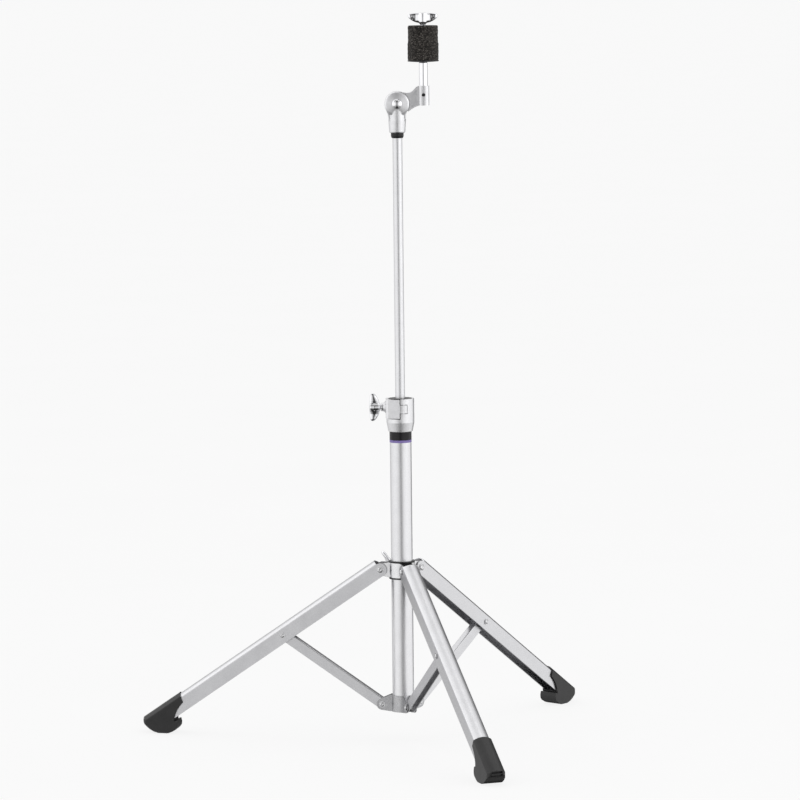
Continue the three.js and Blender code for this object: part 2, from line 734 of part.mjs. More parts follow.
// The arm is drawn about the pivot: x towards the rod, z up.
function tilterArmGeometry() {
  const disc = turned([
    [0, DISC_INNER],
    [TILTER_DISC, DISC_INNER],
    [TILTER_DISC, DISC_REAR - 1.2],
    [TILTER_DISC - 1.4, DISC_REAR],
    [0, DISC_REAR],
  ], ROUND);
  const web = [
    [7, 14.8],
    [13.5, 14],
    [18, 14.8],
    [21.5, 17.4],
    [25, 21.4],
    [28, 23],
    [30, 23],
    [30, -2.2],
    [24, -4.2],
    [18.8, -7.2],
    [15, -10.4],
    [6, -4.2],
  ];
  const pocket = [
    [18.6, 10.5],
    [20.6, 13.2],
    [23.4, 16.6],
    [26.2, 19.4],
    [26.2, -0.6],
    [22.4, -2.2],
    [18.6, -4.4],
  ];
  const corner = 2.4;
  const halfBlock = 7.5;
  const block = raised(
    [
      ...arc(ROD_X + halfBlock - corner, -halfBlock + corner, corner, -90, 0, 4),
      ...arc(ROD_X + halfBlock - corner, halfBlock - corner, corner, 0, 90, 4),
      ...arc(ROD_X - halfBlock + corner, halfBlock - corner, corner, 90, 180, 4),
      ...arc(ROD_X - halfBlock + corner, -halfBlock + corner, corner, 180, 270, 4),
    ],
    -2.4,
    23.2,
  );
  return cut(
    join(disc, cut(slab(web, -6, 6), rod(TILTER_DISC + 0.5, -20, DISC_INNER, ROUND)), block),
    slab(pocket, -10, -3.4),
    slab(pocket, 3.4, 10),
    rod(3.3, -30, 30),
    rod(ROD_RADIUS + GAP, ROD_LOW - TILTER_Z - GAP, 40, 32).rotateX(Math.PI / 2).translate(ROD_X, 0, 0),
    rod(2.5, -20, -3, 16).translate(ROD_X, 0, 11.5),
  );
}

function tilterBoltGeometry() {
  return turned([
    [0, -10.6],
    [5.5, -10.6],
    [5.5, -7.3],
    [3, -7.3],
    [3, 24.6],
    [2.4, 25.2],
    [0, 25.2],
  ]);
}

function tilterCapGeometry() {
  const base = DISC_FRONT - GAP;
  const dome = arc(0, 0, 1, 90, 0, 6).map(([across, up]) => [6.85 * across, base - 0.4 - 3.4 * up]);
  dome[0][0] = 0;
  return turned([...dome, [6.85, base], [0, base]], 32);
}

function setScrewGeometry() {
  const body = rod(2.2, -7.2, -ROD_RADIUS - GAP, 16);
  return cut(body, rod(1.1, -9, -6.4, 6));
}

function tilterRodGeometry() {
  return turnedUpright([
    [0, ROD_LOW],
    [ROD_RADIUS - 0.5, ROD_LOW],
    [ROD_RADIUS, ROD_LOW + 0.5],
    [ROD_RADIUS, ROD_SHOULDER - 0.8],
    [ROD_RADIUS - 0.8, ROD_SHOULDER],
    [THREAD_RADIUS, ROD_SHOULDER],
    [THREAD_RADIUS, ROD_HIGH - 1],
    [THREAD_RADIUS - 0.8, ROD_HIGH],
    [0, ROD_HIGH],
  ], 32);
}

function cupWasherGeometry() {
  return turnedUpright([
    [THREAD_RADIUS + GAP, ROD_SHOULDER + GAP],
    [9, ROD_SHOULDER + GAP],
    [20.3, ROD_SHOULDER + 1.1],
    [20.3, FELT_LOW - GAP],
    [THREAD_RADIUS + GAP, FELT_LOW - GAP],
  ]);
}

function feltGeometry(low, high, radius) {
  return turnedUpright([
    [6.3, low],
    [radius - 0.8, low],
    [radius, low + 0.8],
    [radius, high - 0.8],
    [radius - 0.8, high],
    [6.3, high],
  ]);
}

function topNutGeometry() {
  const thread = rod(THREAD_RADIUS + GAP, -5, ROD_HIGH - TOP_NUT_LOW + 0.5).rotateX(Math.PI / 2);
  return cut(wingGeometry(19.8), thread);
}

function tilterWingNut() {
  const geometry = cut(wingGeometry(16), rod(3.3, -5, 30).rotateX(Math.PI / 2));
  const nut = node("tilter_wing_nut", geometry, "chrome");
  nut.rotation.z = THREE.MathUtils.degToRad(20);
  const backwards = groupOf(nut);
  backwards.rotation.x = -Math.PI / 2;
  backwards.position.set(0, DISC_REAR + GAP, TILTER_Z);
  return backwards;
}

function tilter() {
  const washer = turned([[3.4, -0.9], [15.4, -0.9], [15.4, 0.9], [3.4, 0.9]], ROUND);
  const atPivot = groupOf(
    node("tilter_arm", tilterArmGeometry(), "cast"),
    node("tilter_washer", washer, "black"),
    node("tilter_bolt", tilterBoltGeometry(), "steel"),
    node("tilter_cap", tilterCapGeometry(), "chrome"),
    node("rod_set_screw", setScrewGeometry().translate(ROD_X, 0, 11.5), "black"),
  );
  atPivot.position.z = TILTER_Z;
  const topNut = node("top_wing_nut", topNutGeometry(), "chrome");
  topNut.position.z = TOP_NUT_LOW;
  const sleeve = ring(THREAD_RADIUS + GAP, 6, FELT_LOW, FELT_HIGH - 1.2, SMALL_ROUND);
  const onRod = groupOf(
    node("tilter_rod", tilterRodGeometry(), "chrome"),
    node("cup_washer", cupWasherGeometry(), "black"),
    node("lower_felt", feltGeometry(FELT_LOW, FELT_SPLIT, FELT_RADIUS + 0.2), "felt"),
    node("upper_felt", feltGeometry(FELT_SPLIT + GAP, FELT_HIGH, FELT_RADIUS - 0.3), "felt"),
    node("felt_sleeve", sleeve, "black"),
    topNut,
  );
  onRod.position.x = ROD_X;
  const collar = turnedUpright([
    [UPPER_TUBE_RADIUS + GAP, 800.2],
    [7.3, 800.2],
    [8.4, 802.6],
    [8.4, 806.8],
    [UPPER_TUBE_RADIUS + GAP, 806.8],
  ], 32);
  return groupOf(
    node("tilter_base", tilterBaseGeometry(), "cast"),
    node("tilter_ring", collar, "black"),
    atPivot,
    tilterWingNut(),
    onRod,
  );
}

// ---------- the stand ----------

function buildStand() {
  const legSets = Object.entries(LEG_AZIMUTHS).map(([name, azimuth]) => legSet(name, azimuth));
  const stand = groupOf(mast(), ...legSets, bands(), hubWingScrew(), upperTube(), tilter());
  stand.updateMatrixWorld(true);
  const extent = new THREE.Box3().setFromObject(stand, true);
  const middle = extent.getCenter(new THREE.Vector3());
  stand.position.set(-middle.x, -middle.y, -extent.min.z);
  return stand;
}

const cymbalStand = groupOf(buildStand());
cymbalStand.name = "straight_cymbal_stand";

export default cymbalStand;
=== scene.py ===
"""Looks of the straight cymbal stand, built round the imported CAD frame."""
import json
import math

import bmesh
import bpy
from mathutils import Matrix, Vector, noise


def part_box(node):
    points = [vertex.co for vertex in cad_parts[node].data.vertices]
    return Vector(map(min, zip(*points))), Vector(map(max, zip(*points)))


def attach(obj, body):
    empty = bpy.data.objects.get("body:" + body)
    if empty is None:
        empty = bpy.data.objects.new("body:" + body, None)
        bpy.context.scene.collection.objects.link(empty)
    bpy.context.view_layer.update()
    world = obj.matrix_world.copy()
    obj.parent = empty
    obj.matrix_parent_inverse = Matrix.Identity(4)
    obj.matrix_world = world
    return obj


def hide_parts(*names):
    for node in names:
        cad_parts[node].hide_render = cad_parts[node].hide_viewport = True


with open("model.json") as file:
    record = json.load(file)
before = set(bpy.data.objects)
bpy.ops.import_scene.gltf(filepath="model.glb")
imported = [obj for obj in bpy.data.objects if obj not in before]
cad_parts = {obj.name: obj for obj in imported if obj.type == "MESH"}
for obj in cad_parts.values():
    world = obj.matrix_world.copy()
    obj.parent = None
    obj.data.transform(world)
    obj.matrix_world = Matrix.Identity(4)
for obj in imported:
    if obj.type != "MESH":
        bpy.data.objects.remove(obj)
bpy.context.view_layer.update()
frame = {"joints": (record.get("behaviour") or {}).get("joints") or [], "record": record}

RECORD = frame["record"]
BODY_OF = {n: b for b, ns in RECORD["behaviour"]["bodies"].items() for n in ns}
SLOT_OF = {s["node"]: s["material_slot"] for s in RECORD["subparts"]}
JOINTS = {j["name"]: j for j in frame["joints"]}
LEGS = {"front": "fold", "right": "fold_brace_right", "left": "fold_brace_left"}

# The stand's own coordinates: millimetres, with the mast axis at x = y = 0.
tube_low, tube_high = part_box("base_tube")
AXIS = Vector(((tube_low.x + tube_high.x) / 2, (tube_low.y + tube_high.y) / 2, 0))
STAND = Matrix.Translation(AXIS) @ Matrix.Scale(0.001, 4)


def stand_mm(point):
    """A row-frame point in the stand's own millimetres."""
    return STAND.inverted() @ Vector(point)


def turn(axis, degrees):
    return Matrix.Rotation(math.radians(degrees), 4, axis)


def shift(x, y, z):
    return Matrix.Translation((x, y, z))


# ---------- camera ----------

scene = bpy.context.scene
scene.view_settings.view_transform = "Standard"
scene.view_settings.look = "None"

# Metres from the mast's foot, millimetres of lens and film, degrees of roll.
CAMERA_DISTANCE = 5.7806
CAMERA_HEIGHT = 1.0974
AIM = Vector((-0.0002, 0, 0.4535))
LENS = 197.7
FILM_WIDTH = 36
ROLL = -0.62


def make_camera():
    data = bpy.data.cameras.new("camera")
    data.lens = LENS
    data.sensor_width = FILM_WIDTH
    data.sensor_fit = "HORIZONTAL"
    data.clip_end = 200
    camera = bpy.data.objects.new("camera", data)
    scene.collection.objects.link(camera)
    place = AXIS + Vector((0, -CAMERA_DISTANCE, CAMERA_HEIGHT))
    look = (AXIS + AIM - place).to_track_quat("-Z", "Y").to_matrix().to_4x4()
    camera.matrix_world = Matrix.Translation(place) @ look @ turn("Z", ROLL)
    scene.camera = camera


make_camera()

# ---------- mesh helpers (millimetres) ----------

SAME_POINT = 1e-5
SLIVER = 0.004
MELT_VOXEL = 0.42
NEARLY_STRAIGHT = math.radians(176)
LONGEST_ROUND = 0.49


def obj_from(name, verts, faces):
    mesh = bpy.data.meshes.new(name)
    mesh.from_pydata([tuple(v) for v in verts], [], faces)
    work = bmesh.new()
    work.from_mesh(mesh)
    bmesh.ops.remove_doubles(work, verts=work.verts, dist=SAME_POINT)
    bmesh.ops.recalc_face_normals(work, faces=work.faces)
    work.to_mesh(mesh)
    work.free()
    obj = bpy.data.objects.new(name, mesh)
    scene.collection.objects.link(obj)
    return obj


def bake(obj):
    """Applies the object's modifiers to its mesh."""
    bpy.context.view_layer.update()
    graph = bpy.context.evaluated_depsgraph_get()
    mesh = bpy.data.meshes.new_from_object(obj.evaluated_get(graph))
    obj.modifiers.clear()
    old = obj.data
    obj.data = mesh
    bpy.data.meshes.remove(old)
    return obj


def boolean(obj, operation, *tools):
    """Cuts or joins obj with each tool in turn, and deletes the tools."""
    for tool in tools:
        step = obj.modifiers.new("step", "BOOLEAN")
        step.operation = operation
        step.object = tool
        step.solver = "EXACT"
    bake(obj)
    for tool in tools:
        mesh = tool.data
        bpy.data.objects.remove(tool)
        bpy.data.meshes.remove(mesh)
    return obj


def cut(obj, *tools):
    return boolean(obj, "DIFFERENCE", *tools)


def join(obj, *tools):
    return boolean(obj, "UNION", *tools)


def common(obj, *tools):
    return boolean(obj, "INTERSECT", *tools)


def bevel(obj, width, segments=2, degrees=32):
    """Rounds every edge that turns by more than the given angle."""
    work = bmesh.new()
    work.from_mesh(obj.data)
    bmesh.ops.remove_doubles(work, verts=work.verts, dist=SLIVER)
    bmesh.ops.dissolve_degenerate(work, edges=work.edges, dist=SLIVER)
    work.to_mesh(obj.data)
    work.free()
    step = obj.modifiers.new("edge", "BEVEL")
    step.width = width
    step.segments = segments
    step.limit_method = "ANGLE"
    step.angle_limit = math.radians(degrees)
    step.miter_outer = "MITER_ARC"
    return bake(obj)


def melt(obj, rounds):
    """Fuses and rounds a casting: an even remesh, then smoothing."""
    step = obj.modifiers.new("fuse", "REMESH")
    step.mode = "VOXEL"
    step.voxel_size = MELT_VOXEL
    step = obj.modifiers.new("soften", "SMOOTH")
    step.factor = 0.5
    step.iterations = rounds
    return bake(obj)


def fillet(points, radius, steps=5):
    """Rounds each corner of a closed outline; radius is one number or one per corner."""
    out = []
    count = len(points)
    for i, here in enumerate(points):
        size = radius[i] if isinstance(radius, (list, tuple)) else radius
        here = Vector(here)
        before = Vector(points[i - 1]) - here
        after = Vector(points[(i + 1) % count]) - here
        if size <= 0 or before.length < 1e-6 or after.length < 1e-6:
            out.append(tuple(here))
            continue
        angle = before.angle(after)
        if angle > NEARLY_STRAIGHT:
            out.append(tuple(here))
            continue
        longest = LONGEST_ROUND * min(before.length, after.length)
        reach = min(size / math.tan(angle / 2), longest)
        start = here + before.normalized() * reach
        end = here + after.normalized() * reach
        for k in range(steps + 1):
            t = k / steps
            out.append(tuple(start * (1 - t) ** 2 + here * 2 * t * (1 - t) + end * t ** 2))
    return out


def arc(cx, cy, radius, start, end, steps):
    """Points along a circle about (cx, cy), from one angle to another in degrees."""
    angles = [math.radians(start + (end - start) * i / steps) for i in range(steps + 1)]
    return [(cx + radius * math.cos(a), cy + radius * math.sin(a)) for a in angles]


def turned(outline, segments=64, axis="Z"):
    """A closed (radius, height) outline turned round an axis."""
    verts, rings = [], []
    for radius, height in outline:
        if radius < 1e-6:
            rings.append([len(verts)] * segments)
            verts.append((0, 0, height))
            continue
        rings.append(list(range(len(verts), len(verts) + segments)))
        for k in range(segments):
            angle = 2 * math.pi * k / segments
            verts.append((radius * math.cos(angle), radius * math.sin(angle), height))
    faces = []
    for i in range(len(rings)):
        a, b = rings[i], rings[(i + 1) % len(rings)]
        for k in range(segments):
            m = (k + 1) % segments
            corners = list(dict.fromkeys([a[k], a[m], b[m], b[k]]))
            if len(corners) > 2:
                faces.append(corners)
    obj = obj_from("turned", verts, faces)
    if axis == "Y":
        obj.data.transform(turn("X", -90))
    if axis == "X":
        obj.data.transform(turn("Y", 90))
    return obj


def bar(radius, low, high, axis="Z", segments=48):
    """A plain cylinder on an axis."""
    return turned([(0, low), (radius, low), (radius, high), (0, high)], segments, axis)


def prism(outline, low, high, along="Z"):
    """An outline given thickness: (x, y) along Z, (x, z) along Y or (y, z) along X."""
    place = {
        "Z": lambda a, b, h: (a, b, h),
        "Y": lambda a, b, h: (a, h, b),
        "X": lambda a, b, h: (h, a, b),
    }[along]
    count = len(outline)
    verts = [place(a, b, low) for a, b in outline] + [place(a, b, high) for a, b in outline]
    faces = [list(range(count)), list(range(count, 2 * count))]
    for i in range(count):
        m = (i + 1) % count
        faces.append([i, m, count + m, count + i])
    return obj_from("prism", verts, faces)


def block(x0, x1, y0, y1, z0, z1):
    return prism([(x0, y0), (x1, y0), (x1, y1), (x0, y1)], z0, z1)


def moved(obj, matrix):
    obj.data.transform(matrix)
    return obj


# ---------- materials ----------


def new_material(name):
    material = bpy.data.materials.new(name)
    material.use_nodes = True
    tree = material.node_tree
    shader = tree.nodes["Principled BSDF"]
    return material, tree, shader


def texture(tree, scale, detail=3, stretch=(1, 1, 1), roughness=0.55):
    """Noise in the row frame; scale is in cycles per metre."""
    where = tree.nodes.new("ShaderNodeTexCoord")
    mapping = tree.nodes.new("ShaderNodeMapping")
    mapping.inputs["Scale"].default_value = stretch
    grain = tree.nodes.new("ShaderNodeTexNoise")
    grain.inputs["Scale"].default_value = scale
    grain.inputs["Detail"].default_value = detail
    grain.inputs["Roughness"].default_value = roughness
    tree.links.new(where.outputs["Object"], mapping.inputs["Vector"])
    tree.links.new(mapping.outputs["Vector"], grain.inputs["Vector"])
    return grain.outputs["Fac"]


def ramp(tree, source, stops):
    """Maps a value to greys or colours through (position, colour) stops."""
    node = tree.nodes.new("ShaderNodeValToRGB")
    elements = node.color_ramp.elements
    while len(elements) < len(stops):
        elements.new(0.5)
    for element, (position, color) in zip(elements, stops):
        element.position = position
        tint = color if isinstance(color, (tuple, list)) else (color, color, color)
        element.color = (*tint, 1)
    tree.links.new(source, node.inputs["Fac"])
    return node.outputs["Color"]


def bump(tree, shader, source, distance, strength):
    """Adds a layer of relief, in metres, over what the shader already has."""
    node = tree.nodes.new("ShaderNodeBump")
    node.inputs["Distance"].default_value = distance
    node.inputs["Strength"].default_value = strength
    tree.links.new(source, node.inputs["Height"])
    if shader.inputs["Normal"].links:
        tree.links.new(shader.inputs["Normal"].links[0].from_socket, node.inputs["Normal"])
    tree.links.new(node.outputs["Normal"], shader.inputs["Normal"])


def metal(name, dark, light, rough, grain, relief, patch=60):
    """Metal with a fine grain in its colour and relief, and slow patches in its gloss."""
    material, tree, shader = new_material(name)
    shader.inputs["Metallic"].default_value = 1.0
    fine = texture(tree, grain, 3)
    tree.links.new(ramp(tree, fine, [(0.3, dark), (0.7, light)]), shader.inputs["Base Color"])
    slow = texture(tree, patch, 4)
    tree.links.new(ramp(tree, slow, [(0.3, rough[0]), (0.7, rough[1])]), shader.inputs["Roughness"])
    bump(tree, shader, fine, relief, 0.6)
    return material


def dull(name, dark, light, rough, grain, relief, patch=40, gloss=0.5):
    """Plastic, rubber or film with a moulded grain."""
    material, tree, shader = new_material(name)
    shader.inputs["Specular IOR Level"].default_value = gloss
    slow = texture(tree, patch, 5)
    tree.links.new(ramp(tree, slow, [(0.3, dark), (0.7, light)]), shader.inputs["Base Color"])
    fine = texture(tree, grain, 4)
    tree.links.new(ramp(tree, fine, [(0.3, rough[0]), (0.7, rough[1])]), shader.inputs["Roughness"])
    bump(tree, shader, fine, relief, 0.7)
    return material


def felt_material():
    """Pressed wool: pale fibres over a dark ground, with a soft sheen."""
    material, tree, shader = new_material("felt")
    fibres = texture(tree, 520, 4, (1, 1, 2.2), 0.75)
    clumps = texture(tree, 260, 4, (1, 1, 1.8), 0.6)
    ground = ramp(tree, fibres, [(0.40, (0.008, 0.007, 0.006)), (0.52, (0.034, 0.030, 0.027)),
                                 (0.62, (0.24, 0.22, 0.20))])
    shade = ramp(tree, clumps, [(0.38, 0.35), (0.62, 1.0)])
    mix = tree.nodes.new("ShaderNodeMix")
    mix.data_type = "RGBA"
    mix.blend_type = "MULTIPLY"
    mix.inputs["Factor"].default_value = 1.0
    tree.links.new(ground, mix.inputs["A"])
    tree.links.new(shade, mix.inputs["B"])
    tree.links.new(mix.outputs["Result"], shader.inputs["Base Color"])
    shader.inputs["Roughness"].default_value = 0.95
    shader.inputs["Sheen Weight"].default_value = 0.06
    shader.inputs["Specular IOR Level"].default_value = 0.2
    shader.inputs["Sheen Roughness"].default_value = 0.6
    bump(tree, shader, clumps, 0.0006, 0.8)
    bump(tree, shader, fibres, 0.0003, 0.9)
    return material


MATERIALS = {
    "satin_aluminium": metal("satin_aluminium", (0.70, 0.70, 0.72), (0.86, 0.86, 0.87),
                             (0.30, 0.37), 1500, 0.000008),
    "pressed_aluminium": metal("pressed_aluminium", (0.58, 0.58, 0.60), (0.74, 0.74, 0.75),
                               (0.30, 0.37), 1500, 0.000008),
    "cast_alloy": metal("cast_alloy", (0.76, 0.76, 0.78), (0.88, 0.88, 0.89),
                        (0.32, 0.42), 1100, 0.000015, patch=220),
    "stamped_steel": metal("stamped_steel", (0.66, 0.66, 0.67), (0.82, 0.82, 0.83),
                           (0.20, 0.30), 900, 0.000008, patch=160),
    "dull_steel": metal("dull_steel", (0.34, 0.34, 0.35), (0.54, 0.54, 0.55),
                        (0.22, 0.34), 900, 0.000012, patch=160),
    "rivet_steel": metal("rivet_steel", (0.60, 0.60, 0.61), (0.78, 0.78, 0.79),
                         (0.14, 0.22), 800, 0.000004, patch=300),
    "chrome": metal("chrome", (0.88, 0.88, 0.90), (0.94, 0.94, 0.96),
                    (0.04, 0.09), 120, 0.000002, patch=200),
    "black_nylon": dull("black_nylon", (0.006, 0.006, 0.007), (0.014, 0.013, 0.014),
                        (0.30, 0.45), 1600, 0.00001, gloss=0.4),
    "black_steel": dull("black_steel", (0.010, 0.010, 0.011), (0.022, 0.022, 0.023),
                        (0.30, 0.45), 1500, 0.00001, patch=200),
    "rubber": dull("rubber", (0.006, 0.006, 0.006), (0.014, 0.013, 0.014),
                   (0.30, 0.46), 1400, 0.00003, patch=70),
    "felt": felt_material(),
    "label_black": dull("label_black", (0.006, 0.005, 0.007), (0.012, 0.011, 0.013),
                        (0.20, 0.28), 500, 0.000004, gloss=0.3),
    "label_purple": dull("label_purple", (0.20, 0.15, 0.42), (0.26, 0.20, 0.50),
                         (0.22, 0.30), 500, 0.000004),
}


def finish(node, obj, matrix=STAND, sharp=38, look=None):
    """Puts a detailed piece in the place of its CAD node; look overrides its slot's material."""
    obj.name = node + "_detail"
    obj.data.name = obj.name
    obj.data.transform(matrix)
    obj.data.shade_smooth()
    obj.data.set_sharp_from_angle(angle=math.radians(sharp))
    step = obj.modifiers.new("normals", "WEIGHTED_NORMAL")
    step.weight = 100
    step.keep_sharp = True
    obj.data.materials.clear()
    obj.data.materials.append(MATERIALS[look or SLOT_OF[node]])
    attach(obj, BODY_OF[node])
    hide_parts(node)
    return obj


# ---------- legs, braces and feet ----------

LEG_HALF_WIDTH = 10.7
LEG_BOTTOM = 8.8
LEG_SHOULDER = 9.5
LEG_CROWN = 5.3
LEG_CROWN_START = 0.5
LEG_WALL = 1.6
LEG_LENGTH = 366
LEG_SLOPE = 34.6
BRACE_HALF_WIDTH = 5
BRACE_RADIUS = 7
BRACE_WALL = 1.2
HUB_PIVOT_HOLE = 2.9
PIVOT_HOLE = 2.6
FOOT_HALF_WIDTH = 12.4
FOOT_FLARE = 4
FOOT_SIDE = 11
FOOT_CROWN = 16.3


def crown(half_width, shoulder, rise, steps=20):
    """A shallow arch from one shoulder to the other."""
    return [
        (half_width * (1 - 2 * i / steps), shoulder + rise * (1 - (1 - 2 * i / steps) ** 2))
        for i in range(steps + 1)
    ]


def soft_crown_section(half_width, bottom, shoulder, rise, corner, flare=0):
    """A filled crowned outline with rounded shoulders; flare widens its foot."""
    top = crown(half_width, shoulder, rise)
    inside = [p for p in top if abs(p[0]) < half_width - corner * 0.8]
    edge = fillet([(half_width + flare, bottom), top[0], inside[0]], [0, corner, 0], 6)[1:-1]
    other = [(-y, z) for y, z in edge[::-1]]
    return [(half_width + flare, bottom), *edge, *inside, *other, (-half_width - flare, bottom)]


def make_leg(name, radial, pivot, middle):
    """A crowned channel from the hub pivot down to the foot; middle is the brace's rivet on it."""
    outer = soft_crown_section(LEG_HALF_WIDTH, -LEG_BOTTOM, LEG_SHOULDER, LEG_CROWN, 1.8)
    inner = LEG_HALF_WIDTH - LEG_WALL
    hollow = soft_crown_section(inner, -LEG_BOTTOM - 3, LEG_SHOULDER - 1.1, LEG_CROWN - 0.4, 1.2)
    leg = prism(outer, -LEG_BOTTOM, LEG_LENGTH, "X")
    top = LEG_SHOULDER + LEG_CROWN
    side = [*arc(0, 0, LEG_BOTTOM, 90, 270, 28), (LEG_LENGTH + 1, -LEG_BOTTOM - 0.001),
            (LEG_LENGTH + 1, top + 1), (LEG_CROWN_START + 1.8, top + 1),
            (LEG_CROWN_START + 1.4, top - 0.3), (LEG_CROWN_START, LEG_SHOULDER + 0.2)]
    common(leg, prism(side, -12, 12, "Y"))
    cut(leg, prism(hollow, -20, LEG_LENGTH + 2, "X"),
        block(-20, LEG_CROWN_START, -inner, inner, 0, 20),
        bar(HUB_PIVOT_HOLE, -20, 20, "Y"),
        moved(bar(PIVOT_HOLE, -20, 20, "Y"), shift(middle.x, 0, middle.z)))
    bevel(leg, 0.28, 2, 34)
    finish("leg_" + name, leg, radial @ shift(pivot.x, 0, pivot.z) @ turn("Y", LEG_SLOPE),
           look="pressed_aluminium")


def make_brace(name, radial, low_pivot, slope, length):
    """A plain channel with round ends, from the lower collar up to its leg."""
    half, round_end = BRACE_HALF_WIDTH, BRACE_RADIUS
    inner, roof = half - BRACE_WALL, round_end - BRACE_WALL
    outer = fillet([(-half, -round_end), (half, -round_end), (half, round_end), (-half, round_end)],
                   [0, 0, 1.5, 1.5], 5)
    hollow = fillet([(-inner, -round_end - 2), (inner, -round_end - 2), (inner, roof),
                     (-inner, roof)], [0, 0, 0.8, 0.8], 4)
    side = [*arc(0, 0, round_end, 90, 270, 24), *arc(length, 0, round_end, -90, 90, 24)]
    brace = prism(outer, -round_end, length + round_end, "X")
    common(brace, prism(side, -half - 1, half + 1, "Y"))
    cut(brace, prism(hollow, -10, length + 10, "X"), bar(PIVOT_HOLE, -20, 20, "Y"),
        moved(bar(PIVOT_HOLE, -20, 20, "Y"), shift(length, 0, 0)))
    bevel(brace, 0.22, 2, 34)
    place = radial @ shift(low_pivot.x, 0, low_pivot.z) @ turn("Y", -math.degrees(slope))
    finish("brace_" + name, brace, place, look="pressed_aluminium")


# Side outline of a foot in its leg's upright plane: (radius from the mast, height).
FOOT_MOUTH = [(306.8, 55.6), (303, 50.5), (299.9, 42.6), (304.5, 37), (308.5, 31), (311.6, 23.2),
              (312.3, 16.6), (308.2, 18), (307, 13), (307.5, 8.6)]
FOOT_MOUTH_ROUNDS = [0.6, 1.5, 1.2, 5, 5, 5, 0.6, 0.8, 3, 2]
FOOT_SOLE = [(309.9, 5.2), (314.9, 2.2), (320.5, 0), (334, 0), (340.6, 2), (346.5, 5.4),
             (353.3, 11.3)]
FOOT_TOE = [(355.5, 15), (356.2, 21)]
FOOT_SOCKET_GAP = 0.3
TREAD_PITCH = 1.7
TREAD_DEPTH = 0.8
TOE_SLOTS = (12.6, 16.6)
TOE_SLOT_HEIGHT = 2.6


def tread(points):
    """The sole's outline with a fine saw-tooth pressed into it."""
    out = []
    smooth = fillet([points[0], *points, points[-1]], [0, 0] + [6] * (len(points) - 2) + [0, 0], 5)
    line = [Vector(p) for p in smooth]
    along = 0.0
    due = 0.0
    inside = False
    for here, after in zip(line, line[1:]):
        step = after - here
        if step.length < 1e-6:
            continue
        normal = Vector((-step.y, step.x)).normalized()
        while due <= along + step.length:
            spot = here + step * ((due - along) / step.length)
            out.append(tuple(spot + normal * (TREAD_DEPTH if inside else 0)))
            inside = not inside
            due += TREAD_PITCH / 2
        along += step.length
    return out


def make_foot(name, radial, pivot):
    """A moulded rubber shoe: crowned over the leg, with a toothed sole and slots in its toe."""
    mouth = fillet([*FOOT_MOUTH, FOOT_SOLE[0]], [*FOOT_MOUTH_ROUNDS, 0], 5)[:-1]
    side = [*mouth, *tread(FOOT_SOLE), *FOOT_TOE]
    along_leg = shift(pivot.x, 0, pivot.z) @ turn("Y", LEG_SLOPE)
    outside = soft_crown_section(FOOT_HALF_WIDTH, -80, FOOT_SIDE, FOOT_CROWN - FOOT_SIDE, 2.4,
                                 FOOT_FLARE)
    pocket = soft_crown_section(LEG_HALF_WIDTH + FOOT_SOCKET_GAP, -LEG_BOTTOM - FOOT_SOCKET_GAP,
                                LEG_SHOULDER + FOOT_SOCKET_GAP, LEG_CROWN, 1.8)
    plan = [(290, -16), (343, -14.5), *arc(348, -5.2, 8, -70, 0, 8),
            *arc(348, 5.2, 8, 0, 70, 8), (343, 14.5), (290, 16)]
    foot = prism(side, -16, 16, "Y")
    common(foot, moved(prism(outside, 200, 450, "X"), along_leg), prism(plan, -5, 80))
    slots = [block(351.6, 370, -7.4, 7.4, low, low + TOE_SLOT_HEIGHT) for low in TOE_SLOTS]
    cut(foot, moved(prism(pocket, 300, LEG_LENGTH + FOOT_SOCKET_GAP, "X"), along_leg), *slots)
    bevel(foot, 0.45, 2, 42)
    finish("foot_" + name, foot, radial, sharp=50)


# Share of a rivet's dome that its centre dimple takes up.
DIMPLE_SHARE = 0.42


def rivet(stages, head_radius, head_height, dimple):
    """A rivet along Y, a dome inside a raised ring at each end. Stages run from the middle out."""
    upper = []
    reach = 0
    for radius, end in stages:
        upper += [(radius, reach), (radius, end)]
        reach = end
    dome_radius = head_radius - 1.1
    upper += [(head_radius, reach), (head_radius, reach + 0.7), (head_radius - 0.5, reach + 0.7),
              (head_radius - 0.7, reach + 0.2), (dome_radius, reach + 0.2)]
    steps = 8
    for i in range(1, steps + 1):
        across = math.cos(math.radians(90 * i / steps))
        up = math.sin(math.radians(90 * i / steps))
        dip = dimple * max(0.0, 1 - (across / DIMPLE_SHARE) ** 2)
        upper.append((dome_radius * across, reach + 0.3 + (head_height - 0.3) * up - dip))
    upper[-1] = (0, upper[-1][1])
    lower = [(r, -y) for r, y in upper[1:]][::-1]
    return turned(lower + upper[1:], 40, "Y")


